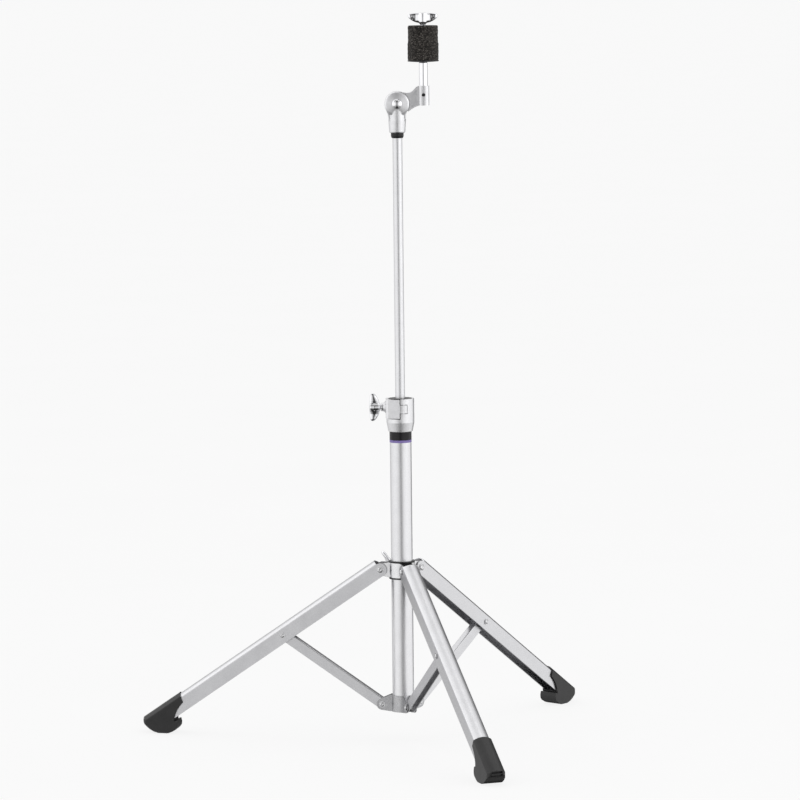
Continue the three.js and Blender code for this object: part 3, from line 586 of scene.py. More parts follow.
def make_leg_sets():
    """The three sets, placed by their joints: leg, brace, foot and three rivets each."""
    for name, joint in LEGS.items():
        low_pivot = stand_mm(JOINTS[joint]["pos_m"])
        azimuth = math.degrees(math.atan2(low_pivot.y, low_pivot.x))
        unturn = turn("Z", -azimuth)
        low_pivot = unturn @ low_pivot
        middle = unturn @ stand_mm(JOINTS["fold_leg_" + name]["pos_m"])
        arm = middle - low_pivot
        slope = math.atan2(arm.z, arm.x)
        pivot = Vector((low_pivot.x, 0, 2 * middle.z - low_pivot.z))
        radial = STAND @ turn("Z", azimuth)
        lift = math.radians(LEG_SLOPE) - slope
        on_leg = Vector((arm.length * math.cos(lift), 0, arm.length * math.sin(lift)))
        make_leg(name, radial, pivot, on_leg)
        make_brace(name, radial, low_pivot, slope, arm.length)
        make_foot(name, radial, pivot)
        outer = LEG_HALF_WIDTH + 0.05
        finish("hub_rivet_" + name, rivet([(2.6, outer)], 4.9, 2.4, 0.7),
               radial @ shift(pivot.x, 0, pivot.z))
        spacer = (4, LEG_HALF_WIDTH - LEG_WALL - 0.1)
        finish("mid_rivet_" + name, rivet([(2.3, 5.2), spacer, (2.3, outer)], 4.0, 2.0, 0.5),
               radial @ shift(middle.x, 0, middle.z))
        finish("lower_rivet_" + name, rivet([(2.3, 6.75)], 4.2, 1.7, 0.8),
               radial @ shift(low_pivot.x, 0, low_pivot.z))


make_leg_sets()

# ---------- bands ----------

BAND_THICKNESS = 1.4
BAND_EAR_REACH = 40
BAND_EAR_RADIUS = 7.6
HUB_BAND_RADIUS = 15.9
HUB_EAR_OFFSET = 7.2
HUB_BAND_LOW, HUB_BAND_HIGH = 217.3, 237
LOWER_BAND_RADIUS = 14.6
LOWER_EAR_OFFSET = 5.3
LOWER_BAND_LOW, LOWER_BAND_HIGH = 36.5, 58.5
HUB_NUT_RADIUS = 6.6
HUB_NUT_REACH = 24.5
SCREW_HOLE = 3.3


def next_leg(x, y):
    """The same point a third of a turn further round the mast."""
    c, s = math.cos(math.radians(120)), math.sin(math.radians(120))
    return (x * c - y * s, x * s + y * c)


def make_band(node, first_leg, radius, offset, low, high, pivot_z, hole, boss_z=None,
              look=None):
    """A strap that hugs the mast between two legs, with an ear along each of them."""
    outer, ear = radius + BAND_THICKNESS, offset + BAND_THICKNESS
    reach = BAND_EAR_REACH
    a_in = math.degrees(math.asin(offset / radius))
    a_out = math.degrees(math.asin(ear / outer))
    inside = [(reach, offset), *arc(0, 0, radius, a_in, 120 - a_in, 24), next_leg(reach, -offset)]
    outside = [next_leg(reach, -ear), *arc(0, 0, outer, 120 - a_out, a_out, 24), (reach, ear)]
    radii = [0, 1.2] + [0] * 23 + [1.2, 0]
    radii += [0, 2.2] + [0] * 23 + [2.2, 0]
    strip = prism(fillet(inside + outside, radii, 5), low, high)
    centre = math.hypot(PIVOT_RADIUS, offset + BAND_THICKNESS / 2)
    trim = fillet([(0, low), (outer + 1.5, low), *arc(centre, pivot_z, BAND_EAR_RADIUS, -80, 80, 24),
                   (outer + 1.5, high), (0, high)], 0)
    common(strip, turned(trim, 96))
    tools = [moved(bar(hole, 0, 20, "Y"), shift(PIVOT_RADIUS, 0, pivot_z)),
             moved(bar(hole, -20, 0, "Y"), turn("Z", 120) @ shift(PIVOT_RADIUS, 0, pivot_z))]
    if boss_z:
        radial = turn("Z", 60) @ shift(0, 0, boss_z)
        nut = turned(fillet([(0, radius + 0.5), (HUB_NUT_RADIUS, radius + 0.5),
                             (HUB_NUT_RADIUS, HUB_NUT_REACH), (0, HUB_NUT_REACH)],
                            [0, 0, 0.8, 0], 4), 48, "X")
        join(strip, moved(nut, radial))
        tools.append(moved(bar(SCREW_HOLE, radius - 1, 40, "X"), radial))
    cut(strip, *tools)
    bevel(strip, 0.25, 2, 34)
    low_pivot = stand_mm(JOINTS[LEGS[first_leg]]["pos_m"])
    azimuth = math.degrees(math.atan2(low_pivot.y, low_pivot.x))
    finish(node, strip, STAND @ turn("Z", azimuth), look=look)


hub_pivot = stand_mm(JOINTS["fold_hub"]["pos_m"])
low_pivot = stand_mm(JOINTS["fold"]["pos_m"])
hub_screw = stand_mm(JOINTS["hub_screw_turn"]["pos_m"])
PIVOT_RADIUS = math.hypot(hub_pivot.x, hub_pivot.y)
BAND_PLACES = {"front_right": "front", "rear": "right", "front_left": "left"}
for place, first in BAND_PLACES.items():
    boss = hub_screw.z if place == "rear" else None
    make_band("hub_band_" + place, first, HUB_BAND_RADIUS, HUB_EAR_OFFSET, HUB_BAND_LOW,
              HUB_BAND_HIGH, hub_pivot.z, HUB_PIVOT_HOLE, boss)
    make_band("lower_band_" + place, first, LOWER_BAND_RADIUS, LOWER_EAR_OFFSET, LOWER_BAND_LOW,
              LOWER_BAND_HIGH, low_pivot.z, PIVOT_HOLE, look="dull_steel")


def make_liner():
    """The nylon sleeve in the hub, with a lip above and below the bands."""
    outline = fillet([(14.6, 215.1), (17.3, 215.1), (17.3, 217.1), (15.6, 217.1), (15.6, 237.2),
                      (17.3, 237.2), (17.3, 239.1), (14.6, 239.1)],
                     [0.2, 0.4, 0.3, 0.2, 0.2, 0.3, 0.4, 0.2], 3)
    liner = turned(outline, 96)
    azimuth = math.degrees(math.atan2(hub_screw.y, hub_screw.x))
    cut(liner, moved(bar(SCREW_HOLE, 13.6, 30, "X"), turn("Z", azimuth) @ shift(0, 0, hub_screw.z)))
    finish("hub_liner", liner)


make_liner()

# ---------- wings ----------

# One half of a wing, as (distance from the screw's axis, value) in millimetres.
WING_SPAN = 19.6
WING_UNDERSIDE = [(0, 1.2), (6, 1.4), (9, 2.0), (12, 3.2), (15, 4.9), (17.5, 6.8), (19, 8.6),
                  (WING_SPAN, 10.6)]
WING_TOP = [(0, 14.9), (5, 14.8), (10, 14.6), (14, 14.2), (17, 13.6), (18.6, 12.9), (19.4, 12),
            (WING_SPAN, 10.7)]
WING_THICKNESS = [(0, 4.6), (3.5, 4.4), (6.5, 3.0), (9.5, 2.3), (13, 2.4), (16.5, 2.5), (18.6, 1.7),
                  (WING_SPAN, 0.5)]
WING_SQUARENESS = 0.75
WING_MELT_ROUNDS = 7


def smooth_table(table, x):
    """Reads a table of (x, value) with a smooth step between its rows."""
    for (x0, v0), (x1, v1) in zip(table, table[1:]):
        if x <= x1:
            t = (x - x0) / (x1 - x0)
            t = t * t * (3 - 2 * t)
            return v0 + (v1 - v0) * t
    return table[-1][1]


def squared(value):
    """Pushes a sine or cosine outwards, which makes a circle squarer."""
    return math.copysign(abs(value) ** WING_SQUARENESS, value)


def wing(half_span):
    """A cast wing: span along X, screw axis along Z, hub end at z = 0."""
    k = half_span / WING_SPAN
    stations, around = 48, 28
    verts, faces = [], []
    for i in range(stations + 1):
        across = math.sin(math.pi / 2 * (2 * i / stations - 1))
        x = WING_SPAN * across
        z0 = smooth_table(WING_UNDERSIDE, abs(x))
        z1 = smooth_table(WING_TOP, abs(x))
        thick = smooth_table(WING_THICKNESS, abs(x))
        for j in range(around):
            angle = 2 * math.pi * j / around
            y = thick * squared(math.cos(angle))
            z = (z0 + z1) / 2 + (z1 - z0) / 2 * squared(math.sin(angle))
            verts.append((x * k, y, z))
    for i in range(stations):
        for j in range(around):
            m = (j + 1) % around
            here, after = i * around, (i + 1) * around
            faces.append([here + j, here + m, after + m, after + j])
    faces.append(list(range(around)))
    faces.append([stations * around + j for j in range(around)])
    blade = obj_from("wing", verts, faces)
    hub = turned(fillet([(0, 0), (4.6, 0), (5.6, 2.5), (6.0, 8), (5.2, 14.2), (0, 15)],
                        [0, 0.7, 1, 2, 1.5, 0], 4), 48)
    return join(blade, hub)


def make_wing(node, half_span, matrix, shank=None, hole=None):
    """A wing screw, with a threaded shank of (radius, start), or a nut, with a (radius, depth) hole."""
    piece = melt(wing(half_span), WING_MELT_ROUNDS)
    if shank:
        radius, start = shank
        join(piece, screw_thread(radius, 1.0, start, 3))
    if hole:
        radius, depth = hole
        cut(piece, bar(radius, -3, depth))
    finish(node, piece, matrix, sharp=55)


def screw_thread(radius, pitch, low, high, segments=20, depth=0.42):
    """A rod with a real helical thread."""
    rows = max(2, int((high - low) / (pitch / 5)))
    verts, faces = [], []
    for i in range(rows + 1):
        z = low + (high - low) * i / rows
        fade = min(1.0, (z - low) / pitch, (high - z) / pitch)
        for k in range(segments):
            phase = (z / pitch - k / segments) % 1.0
            wave = abs(2 * phase - 1)
            r = radius - depth * wave * max(fade, 0) - (1 - max(fade, 0)) * depth
            angle = 2 * math.pi * k / segments
            verts.append((r * math.cos(angle), r * math.sin(angle), z))
    for i in range(rows):
        for k in range(segments):
            m = (k + 1) % segments
            here, after = i * segments, (i + 1) * segments
            faces.append([here + k, here + m, after + m, after + k])
    faces.append(list(range(segments)))
    faces.append([rows * segments + k for k in range(segments)])
    return obj_from("thread", verts, faces)


# Each screw's shank length, and how far from the mast's axis its point ends.
SCREW_RADIUS = 3
HUB_SHANK, HUB_SCREW_POINT = 24.3, 14.7
CLAMP_SHANK, CLAMP_SCREW_POINT = 37.6, 11.4
HUB_WING_TURN = -32
TILTER_NUT_TURN = 20
TILTER_NUT_SEAT = 11.8

screw_azimuth = math.degrees(math.atan2(hub_screw.y, hub_screw.x))
hub_place = (STAND @ turn("Z", screw_azimuth) @ shift(HUB_SCREW_POINT + HUB_SHANK, 0, hub_screw.z)
             @ turn("Y", 90) @ turn("Z", HUB_WING_TURN))
make_wing("hub_wing_screw", 20, hub_place, shank=(SCREW_RADIUS, -HUB_SHANK))
clamp_screw = stand_mm(JOINTS["clamp_screw_turn"]["pos_m"])
clamp_place = (STAND @ shift(CLAMP_SCREW_POINT - CLAMP_SHANK, clamp_screw.y, clamp_screw.z)
               @ turn("Y", -90))
make_wing("clamp_wing_screw", 18.8, clamp_place, shank=(SCREW_RADIUS, -CLAMP_SHANK))
tilt = stand_mm(JOINTS["tilt"]["pos_m"])
nut_place = STAND @ shift(0, TILTER_NUT_SEAT, tilt.z) @ turn("X", -90) @ turn("Z", TILTER_NUT_TURN)
make_wing("tilter_wing_nut", 16, nut_place, hole=(SCREW_HOLE, 20))
top_nut_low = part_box("top_wing_nut")[0].z * 1000
rod_axis = stand_mm(JOINTS["upper_felt_lift"]["pos_m"])
make_wing("top_wing_nut", 19.8, STAND @ shift(rod_axis.x, 0, top_nut_low), hole=(4.3, 9))

# ---------- mast ----------

BASE_TUBE_RADIUS = 14.3
UPPER_TUBE_RADIUS = 6.35
UPPER_TUBE_HOLE = 6.65
TUBE_EDGE = 0.35
FILM_INNER, FILM_OUTER = 14.31, 14.62
LABEL_LOW, LABEL_SPLIT, LABEL_HIGH = 397.6, 401, 412.1
COLLAR_LOW = 412.4
COLLAR_SHOULDER = 424.4
COLLAR_TOP = 456
COLLAR_RADIUS = 18.4
CLAMP_BORE = 10.2
CLAMP_RECESS = 15.8
CLAMP_RECESS_LOW = 451.2
JAW_LOW, JAW_HIGH = 430.4, 455.4
KNUCKLE_LOW, KNUCKLE_HIGH = 437.4, 448.2
KNUCKLE_GAP = 0.7
CLAMP_SCREW_Y = 14
HINGE_PIN = (4.3, -14.4)
HINGE_PIN_RADIUS = 1.5
HINGE_PIN_HOLE = 1.8


def tube(node, inner, outer, low, high, segments=128):
    """A tube on the mast's axis with slightly rounded ends."""
    outline = fillet([(inner, low), (outer, low), (outer, high), (inner, high)], TUBE_EDGE, 3)
    finish(node, turned(outline, segments))


tube("base_tube", 12.7, BASE_TUBE_RADIUS, 38.5, 426.4)
tube("upper_tube", 5.15, UPPER_TUBE_RADIUS, 385, 826, 96)
tube("label_stripe", FILM_INNER, FILM_OUTER, LABEL_LOW, LABEL_SPLIT + 0.02)
tube("label_band", FILM_INNER, FILM_OUTER, LABEL_SPLIT, LABEL_HIGH)


def clamp_screw_hole():
    return moved(bar(SCREW_HOLE, -30, 12.5, "X"), shift(0, CLAMP_SCREW_Y, clamp_screw.z))


def make_collar():
    """The fixed half of the clamp, cut away where the jaw and its knuckle go."""
    body = turned(fillet([(14.6, COLLAR_LOW), (16.2, COLLAR_LOW), (COLLAR_RADIUS, COLLAR_SHOULDER),
                          (COLLAR_RADIUS, COLLAR_TOP), (CLAMP_RECESS, COLLAR_TOP),
                          (CLAMP_RECESS, CLAMP_RECESS_LOW), (CLAMP_BORE, CLAMP_RECESS_LOW),
                          (CLAMP_BORE, 426.7), (14.6, 426.7)],
                         [0.2, 0.6, 2.5, 0.7, 0.5, 0.3, 0.3, 0.2, 0.2], 5), 128)
    knuckle_slot = block(-1, 9.6, -30, -10.4, KNUCKLE_LOW - KNUCKLE_GAP, KNUCKLE_HIGH + KNUCKLE_GAP)
    cut(body, block(-30, 0.1, -30, 30, 429.5, 461), knuckle_slot, clamp_screw_hole(),
        moved(bar(HINGE_PIN_HOLE, 430.7, 461), shift(*HINGE_PIN, 0)))
    bevel(body, 0.35, 3, 34)
    finish("clamp_collar", body)


def make_jaw():
    """The moving half: a flat-faced jaw with the screw's boss and a knuckle round the pin."""
    half = fillet([(-0.8, -18.5), (-8, -17.0), (-16.4, -15.2), (-18.8, -12.5), (-19.2, -9),
                   (-19.2, 9), (-18.4, 11.5), (-14.5, 14.6), (-8, 17.2), (-0.8, 18.4)],
                  [0, 0, 1.2, 1.2, 1, 1, 2, 5, 6, 0], 5)
    jaw = prism(half, JAW_LOW, JAW_HIGH)
    boss = moved(turned(fillet([(0, -25.4), (5.2, -25.4), (5.6, -24.9), (5.6, -22.4), (6.6, -20.8),
                                (9.4, -18.4), (9.4, -8), (0, -8)],
                               [0, 0.4, 0.4, 1.5, 2, 2, 0, 0], 4), 64, "X"),
                 shift(0, CLAMP_SCREW_Y, clamp_screw.z))
    common(boss, block(-30, -0.8, 0, 21, JAW_LOW, JAW_HIGH))
    tongue = block(-2, 8.9, -30, -10.9, KNUCKLE_LOW, KNUCKLE_HIGH)
    common(tongue, turned([(10.9, 430), (COLLAR_RADIUS, 430), (COLLAR_RADIUS, COLLAR_TOP),
                           (10.9, COLLAR_TOP)], 128))
    join(jaw, boss, tongue)
    bore = turned([(0, 420), (CLAMP_BORE, 420), (CLAMP_BORE, CLAMP_RECESS_LOW),
                   (CLAMP_RECESS, CLAMP_RECESS_LOW), (CLAMP_RECESS, 461), (0, 461)], 128)
    cut(jaw, bore, clamp_screw_hole(), moved(bar(HINGE_PIN_HOLE, 400, 500), shift(*HINGE_PIN, 0)))
    bevel(jaw, 0.4, 3, 34)
    finish("clamp_jaw", jaw)


make_collar()
make_jaw()
finish("clamp_bushing", turned(fillet(
    [(UPPER_TUBE_HOLE, 429), (9.9, 429), (9.9, 451.5), (15.5, 451.5), (15.5, 456.1),
     (UPPER_TUBE_HOLE, 456.1)],
    [0.3, 0.3, 0.2, 0.4, 0.5, 0.5], 4), 96))
finish("tube_end_plug", turned(fillet(
    [(0, 36.7), (14.1, 36.7), (14.1, 38.2), (12.4, 38.2), (12.4, 46.5), (11.4, 47.5), (0, 47.5)],
    [0, 0.5, 0.2, 0.2, 0.3, 0.3, 0], 4), 96))
finish("upper_tube_guide", turned(fillet(
    [(0, 382), (11.3, 382), (12.3, 383), (12.3, 397), (UPPER_TUBE_HOLE, 397),
     (UPPER_TUBE_HOLE, 384.7), (0, 384.7)],
    [0, 0.3, 0.3, 0.4, 0.3, 0.2, 0], 3), 96))
pin = turned(fillet([(0, 431), (HINGE_PIN_RADIUS, 431), (HINGE_PIN_RADIUS, 451), (0, 451)],
                    [0, 0.3, 0.3, 0], 3), 32)
finish("clamp_hinge_pin", moved(pin, shift(*HINGE_PIN, 0)))

# ---------- tilter ----------

TILT_Z = tilt.z
AT_PIVOT = STAND @ shift(0, 0, TILT_Z)
ROD_X = rod_axis.x
DISC_RADIUS = 16.4
DISC_CLEARANCE = 16.9
DISC_FACE = 1.2
POST_RADIUS = 11.5
POST_MELT_ROUNDS = 9
BOLT_HEAD_HOLE = 5.9
ROD_BLOCK_HALF = 7.5
ROD_HOLE = 5.72
SET_SCREW_Z = 11.5
SET_SCREW_HOLE = 2.4
POCKET_WEB = 1.8


def make_tilter_base():
    """The post runs smoothly into the front disc."""
    post = turned(fillet([(0, 807.2), (9.8, 807.2), (10.5, 808.2), (POST_RADIUS, 823),
                          (POST_RADIUS, 836), (8, TILT_Z), (0, TILT_Z)],
                         [0, 0.8, 1, 8, 4, 2, 0], 6), 96)
    head = turned(fillet([(0, -11.3), (7.2, -11.3), (14.6, -9.9), (DISC_RADIUS, -8.4),
                          (DISC_RADIUS, -DISC_FACE), (0, -DISC_FACE)],
                         [0, 3, 2.0, 1.2, 0.3, 0], 6), 128, "Y")
    gusset = fillet([(-14.6, -7.4), (-12.6, -13), (-11.3, -20), (-8, -24), (8, -24), (11.3, -20),
                     (11.9, -13), (13.4, -9.2), (6, 0), (-6, 0)], [1, 6, 6, 3, 3, 6, 6, 1, 1, 1], 5)
    at_pivot = shift(0, 0, TILT_Z)
    join(post, moved(head, at_pivot), moved(prism(gusset, -7.5, -DISC_FACE, "Y"), at_pivot))
    melt(post, POST_MELT_ROUNDS)
    behind = moved(bar(DISC_CLEARANCE, -1.3, 30, "Y", 128), at_pivot)
    cut(post, behind, moved(bar(SCREW_HOLE, -30, 30, "Y"), at_pivot),
        moved(bar(BOLT_HEAD_HOLE, -30, -7, "Y"), at_pivot), bar(UPPER_TUBE_HOLE, 780, 826.3))
    finish("tilter_base", post, sharp=50)


def make_tilter_arm():
    """The rear disc, a web with a pocket in each side, and the block that holds the rod."""
    disc = turned(fillet([(0, DISC_FACE), (DISC_RADIUS, DISC_FACE), (DISC_RADIUS, 11.5), (0, 11.5)],
                         [0, 0.4, 2.0, 0], 6), 128, "Y")
    web = fillet([(7, 14.8), (13.5, 14), (18, 14.8), (21.5, 17.4), (25, 21.4), (28, 23), (30, 23),
                  (30, -2.2), (24, -4.2), (18.8, -7.2), (15, -10.4), (6, -4.2)],
                 [0, 4, 4, 5, 4, 2, 0, 0, 6, 6, 2, 0], 5)
    pocket = fillet([(18.6, 9.8), (20.6, 12.6), (23.4, 16.2), (26.0, 18.6), (26.0, -0.8),
                     (22.4, -2.4), (18.6, -4.4)], [1.5, 2, 2, 1.2, 1.2, 2, 1.2], 5)
    shape = prism(web, -6, 6, "Y")
    cut(shape, bar(DISC_CLEARANCE, -20, DISC_FACE, "Y", 128))
    half = ROD_BLOCK_HALF
    corners = fillet([(ROD_X - half, -half), (ROD_X + half, -half), (ROD_X + half, half),
                      (ROD_X - half, half)], 7.1, 10)
    join(disc, shape, prism(corners, -2.4, 23.2))
    rod_hole = moved(bar(ROD_HOLE, 0.7, 40), shift(ROD_X, 0, 0))
    screw_hole = moved(bar(SET_SCREW_HOLE, -20, -3, "Y"), shift(ROD_X, 0, SET_SCREW_Z))
    cut(disc, prism(pocket, -10, -POCKET_WEB, "Y"), prism(pocket, POCKET_WEB, 10, "Y"),
        bar(SCREW_HOLE, -30, 30, "Y"), rod_hole, screw_hole)
    bevel(disc, 0.55, 3, 34)
    finish("tilter_arm", disc, AT_PIVOT)


def make_set_screw():
    """A small socket screw that holds the rod in its block."""
    screw = moved(bar(2.2, -7.0, -5.9, "Y"), shift(ROD_X, 0, SET_SCREW_Z))
    socket = arc(ROD_X, SET_SCREW_Z, 1.1, 0, 300, 5)
    cut(screw, prism(socket, -9, -6.2, "Y"))
    bevel(screw, 0.12, 2)
    finish("rod_set_screw", screw, AT_PIVOT)


make_tilter_base()
make_tilter_arm()
make_set_screw()
CAP_RADIUS = 6.85
CAP_RISE = 3.3
dome = [(CAP_RADIUS * math.sin(math.radians(a)), -11.6 - CAP_RISE * math.cos(math.radians(a)))
        for a in range(6, 91, 7)]
cap = [(0, -11.6 - CAP_RISE), *dome, (CAP_RADIUS, -11.05), (0, -11.05)]
finish("tilter_cap", turned(cap, 64, "Y"), AT_PIVOT, sharp=60)
finish("tilter_bolt", turned(fillet([(0, -10.6), (5.5, -10.6), (5.5, -7.3), (SCREW_RADIUS, -7.3),
                                     (SCREW_RADIUS, 24.6), (2.4, 25.2), (0, 25.2)],
                                    [0, 0.4, 0.2, 0.2, 0.2, 0.2, 0], 3), 48, "Y"), AT_PIVOT)
finish("tilter_washer", turned(fillet([(3.4, -1.1), (15.6, -1.1), (15.6, 1.1), (3.4, 1.1)], 0.2, 3),
                               96, "Y"), AT_PIVOT)
finish("tilter_ring", turned(fillet([(6.42, 800.2), (7.3, 800.2), (8.4, 802.6), (8.4, 807.1),
                                     (6.42, 807.1)], [0.1, 0.5, 0.6, 0.4, 0.2], 4), 96))

# ---------- rod, felts and washer ----------

ON_ROD = STAND @ shift(ROD_X, 0, 0)
ROD_RADIUS = 5.6
ROD_SHOULDER = 899.4
THREAD_RADIUS = 4
THREAD_PITCH = 1.25
THREAD_TOP = 958
SLEEVE_HOLE = 4.3
FELT_HOLE = 6.3
FELT_RING_STEPS = 14
FELT_WALL_ROWS = 26
# Coarse, fine and hairy unevenness: cycles per millimetre and size.
FELT_LUMPS = ((0.28, 0.34), (1.3, 0.22), (4.0, 0.16))
FELT_TOP_LUMPS = 0.2


def make_rod():
    """A plain shank with a thinner threaded end."""
    shank = turned(fillet([(0, 846.2), (5.1, 846.2), (ROD_RADIUS, 846.7), (ROD_RADIUS, 898.6),
                           (4.8, ROD_SHOULDER), (3.4, ROD_SHOULDER), (3.4, 900.4), (0, 900.4)],
                          [0, 0.2, 0.2, 0.4, 0.3, 0.1, 0.1, 0], 3), 64)
    join(shank, screw_thread(THREAD_RADIUS, THREAD_PITCH, ROD_SHOULDER + 0.4, THREAD_TOP, 24, 0.55))
    finish("tilter_rod", shank, ON_ROD, sharp=30)


def felt_disc(node, low, high, radius, seed, low_edge, high_edge):
    """A pressed felt washer with an uneven skin; low_edge and high_edge round its two rims."""
    across = radius - FELT_HOLE - 0.9
    steps = [across * i / FELT_RING_STEPS for i in range(FELT_RING_STEPS + 1)]
    outline = [(FELT_HOLE + step, low) for step in steps]
    for i in range(FELT_WALL_ROWS + 1):
        t = i / FELT_WALL_ROWS
        edge = (low_edge * max(0.0, 0.06 - t) + high_edge * max(0.0, t - 0.94)) / 0.06
        outline.append((radius - edge, low + (high - low) * t))
    outline += [(radius - 0.9 - step, high) for step in steps]
    felt = turned(outline, 180)
    offsets = (Vector((seed, 0, 0)), Vector((0, seed, 0)), Vector((0, 0, seed)))
    for vert in felt.data.vertices:
        co = vert.co
        flat = Vector((co.x, co.y, 0))
        if flat.length < FELT_HOLE + 0.1:
            continue
        lumps = [noise.noise(co * scale + offset) for (scale, _), offset in zip(FELT_LUMPS, offsets)]
        amount = sum(size * lump for (_, size), lump in zip(FELT_LUMPS, lumps))
        vert.co = co + flat.normalized() * amount
        rim = flat.length / radius
        if co.z > high - 0.5 and rim > 0.4:
            vert.co.z += FELT_TOP_LUMPS * lumps[1] * rim
    finish(node, felt, ON_ROD, sharp=80)
    return felt


make_rod()
lower_felt = felt_disc("lower_felt", 902.15, 924.7, 20.2, 3.0, 0.9, 0.2)
upper_felt = felt_disc("upper_felt", 924.75, 947.3, 19.7, 11.0, 0.2, 0.9)
cup = fillet([(SLEEVE_HOLE, 899.6), (9, 899.6), (20.1, 900.4), (20.6, 901.0), (20.3, 902.1),
              (SLEEVE_HOLE, 902.1)], [0.2, 1.5, 0.3, 0.3, 0.3, 0.2], 4)
finish("cup_washer", turned(cup, 128), ON_ROD)
sleeve = fillet([(SLEEVE_HOLE, 902.3), (6, 902.3), (6, 946.1), (SLEEVE_HOLE, 946.1)], 0.4, 3)
finish("felt_sleeve", turned(sleeve, 64), ON_ROD)

# ---------- floor and light ----------


FLOOR_REACH = 60
FLOOR_SIDES = 96
# How much of the floor the camera sees as plain white rather than lit.
FLOOR_GLOW = 0.85


def make_floor():
    """A wide pale disc on the ground, mostly white to the camera, with a soft shadow left on it."""
    rim = arc(AXIS.x, AXIS.y, FLOOR_REACH, 0, 360, FLOOR_SIDES)[:-1]
    floor = obj_from("floor", [(x, y, 0) for x, y in rim], [list(range(FLOOR_SIDES))])
    material, tree, shader = new_material("floor")
    tint = ramp(tree, texture(tree, 3, 3), [(0.3, 0.80), (0.7, 0.84)])
    tree.links.new(tint, shader.inputs["Base Color"])
    shader.inputs["Roughness"].default_value = 0.9
    seen = tree.nodes.new("ShaderNodeLightPath")
    glow = tree.nodes.new("ShaderNodeEmission")
    glow.inputs["Strength"].default_value = 1.0
    blend = tree.nodes.new("ShaderNodeMixShader")
    share = tree.nodes.new("ShaderNodeMath")
    share.operation = "MULTIPLY"
    share.inputs[1].default_value = FLOOR_GLOW
    tree.links.new(seen.outputs["Is Camera Ray"], share.inputs[0])
    tree.links.new(share.outputs[0], blend.inputs["Fac"])
    tree.links.new(shader.outputs["BSDF"], blend.inputs[1])
    tree.links.new(glow.outputs["Emission"], blend.inputs[2])
    tree.links.new(blend.outputs["Shader"], tree.nodes["Material Output"].inputs["Surface"])
    floor.data.materials.append(material)
    floor.visible_glossy = False


def blend_range(tree, source, low, high, start=0.0, end=1.0):
    """Maps a value smoothly from low..high to start..end."""
    node = tree.nodes.new("ShaderNodeMapRange")
    node.interpolation_type = "SMOOTHSTEP"
    node.inputs["From Min"].default_value = low
    node.inputs["From Max"].default_value = high
    node.inputs["To Min"].default_value = start
    node.inputs["To Max"].default_value = end
    tree.links.new(source, node.inputs["Value"])
    return node.outputs["Result"]


def math_node(tree, operation, *values):
    """One sum on numbers or other nodes' outputs."""
    node = tree.nodes.new("ShaderNodeMath")
    node.operation = operation
    for socket, value in zip(node.inputs, values):
        if isinstance(value, (int, float)):
            socket.default_value = value
        else:
            tree.links.new(value, socket)
    return node.outputs[0]


def mix_values(tree, factor, a, b):
    """From a to b as the factor goes from 0 to 1."""
    rest = math_node(tree, "SUBTRACT", 1, factor)
    return math_node(tree, "ADD", math_node(tree, "MULTIPLY", a, rest),
                     math_node(tree, "MULTIPLY", b, factor))


# Brightness of the studio walls by direction: degrees from the front, right positive.
WALLS = [(-180, 0.80), (-158, 0.66), (-140, 0.62), (-118, 0.95), (-60, 1.14), (-24, 1.0),
         (30, 1.14), (118, 1.10), (138, 0.38), (150, 0.06), (166, 0.10), (180, 0.80)]
CEILING = 0.92
GROUND = 0.50
# Two dark strips in front, one in the other: where each starts to fade, where it has faded, and
# its brightness. They widen towards the floor and the ceiling.
BROAD_STRIP = (0.16, 0.36, 0.58)
FINE_STRIP = (0.03, 0.09, 0.10)
STRIP_SPREAD = 2.6
# Softboxes seen in the metal: direction, cosine where each begins, brightness added.
SOFTBOXES = [((-0.70, 0.20, 0.68), 0.86, 0.60), ((0.39, 0.49, 0.78), 0.92, 0.25)]


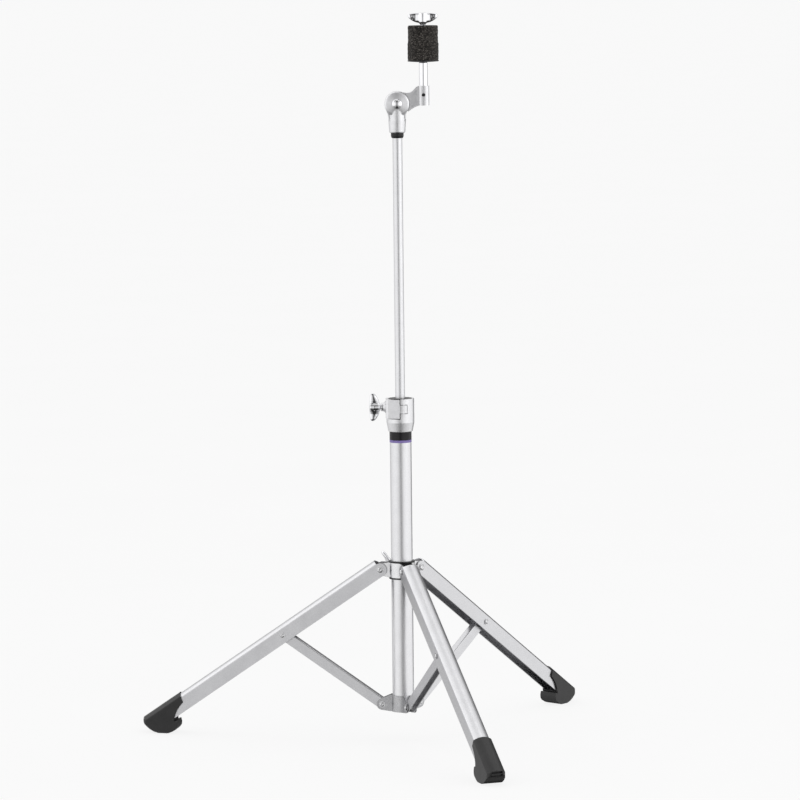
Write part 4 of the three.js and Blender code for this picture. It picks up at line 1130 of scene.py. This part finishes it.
def make_world():
    """A pale studio seen in the metal: a dark strip runs from floor to ceiling in front."""
    world = bpy.data.worlds.new("studio")
    scene.world = world
    world.use_nodes = True
    tree = world.node_tree
    where = tree.nodes.new("ShaderNodeTexCoord")
    split = tree.nodes.new("ShaderNodeSeparateXYZ")
    tree.links.new(where.outputs["Generated"], split.inputs["Vector"])
    x, y, z = split.outputs["X"], split.outputs["Y"], split.outputs["Z"]
    azimuth = math_node(tree, "ARCTAN2", x, math_node(tree, "MULTIPLY", y, -1))
    share = math_node(tree, "ADD", math_node(tree, "DIVIDE", azimuth, 2 * math.pi), 0.5)
    walls = ramp(tree, share, [(degrees / 360 + 0.5, value) for degrees, value in WALLS])
    upper = mix_values(tree, blend_range(tree, z, 0.35, 0.75), walls, CEILING)
    room = mix_values(tree, blend_range(tree, z, -0.2, -0.6), upper, GROUND)
    height = math_node(tree, "MULTIPLY", math_node(tree, "ABSOLUTE", z), STRIP_SPREAD)
    across = math_node(tree, "DIVIDE", math_node(tree, "ABSOLUTE", x),
                       math_node(tree, "ADD", math_node(tree, "MULTIPLY", height, height), 1))
    beside = math_node(tree, "MULTIPLY", blend_range(tree, across, *BROAD_STRIP),
                       blend_range(tree, across, *FINE_STRIP))
    behind = blend_range(tree, y, -0.15, 0.05)
    lit = math_node(tree, "MULTIPLY", room, math_node(tree, "MAXIMUM", beside, behind))
    for direction, start, gain in SOFTBOXES:
        aim = Vector(direction).normalized()
        toward = math_node(tree, "MULTIPLY", x, aim.x)
        for axis_value, part in ((y, aim.y), (z, aim.z)):
            toward = math_node(tree, "ADD", toward, math_node(tree, "MULTIPLY", axis_value, part))
        glow = blend_range(tree, toward, start, min(1.0, start + 0.1), 0.0, gain)
        lit = math_node(tree, "ADD", lit, glow)
    background = tree.nodes["Background"]
    tree.links.new(lit, background.inputs["Color"])


make_floor()
make_world()


def area_light(name, place, aim, size, power):
    """A rectangular softbox, in metres from the mast's foot and watts."""
    data = bpy.data.lights.new(name, "AREA")
    data.shape = "RECTANGLE"
    data.size, data.size_y = size
    data.energy = power
    light = bpy.data.objects.new(name, data)
    scene.collection.objects.link(light)
    start = AXIS + Vector(place)
    look = (AXIS + Vector(aim) - start).to_track_quat("-Z", "Y").to_matrix().to_4x4()
    light.matrix_world = Matrix.Translation(start) @ look


area_light("top_softbox", (0.3, -0.6, 3.2), (0, 0, 0.4), (2.6, 2.6), 12)
area_light("right_softbox", (3.0, -1.6, 1.6), (0, 0, 0.5), (1.6, 2.6), 8)
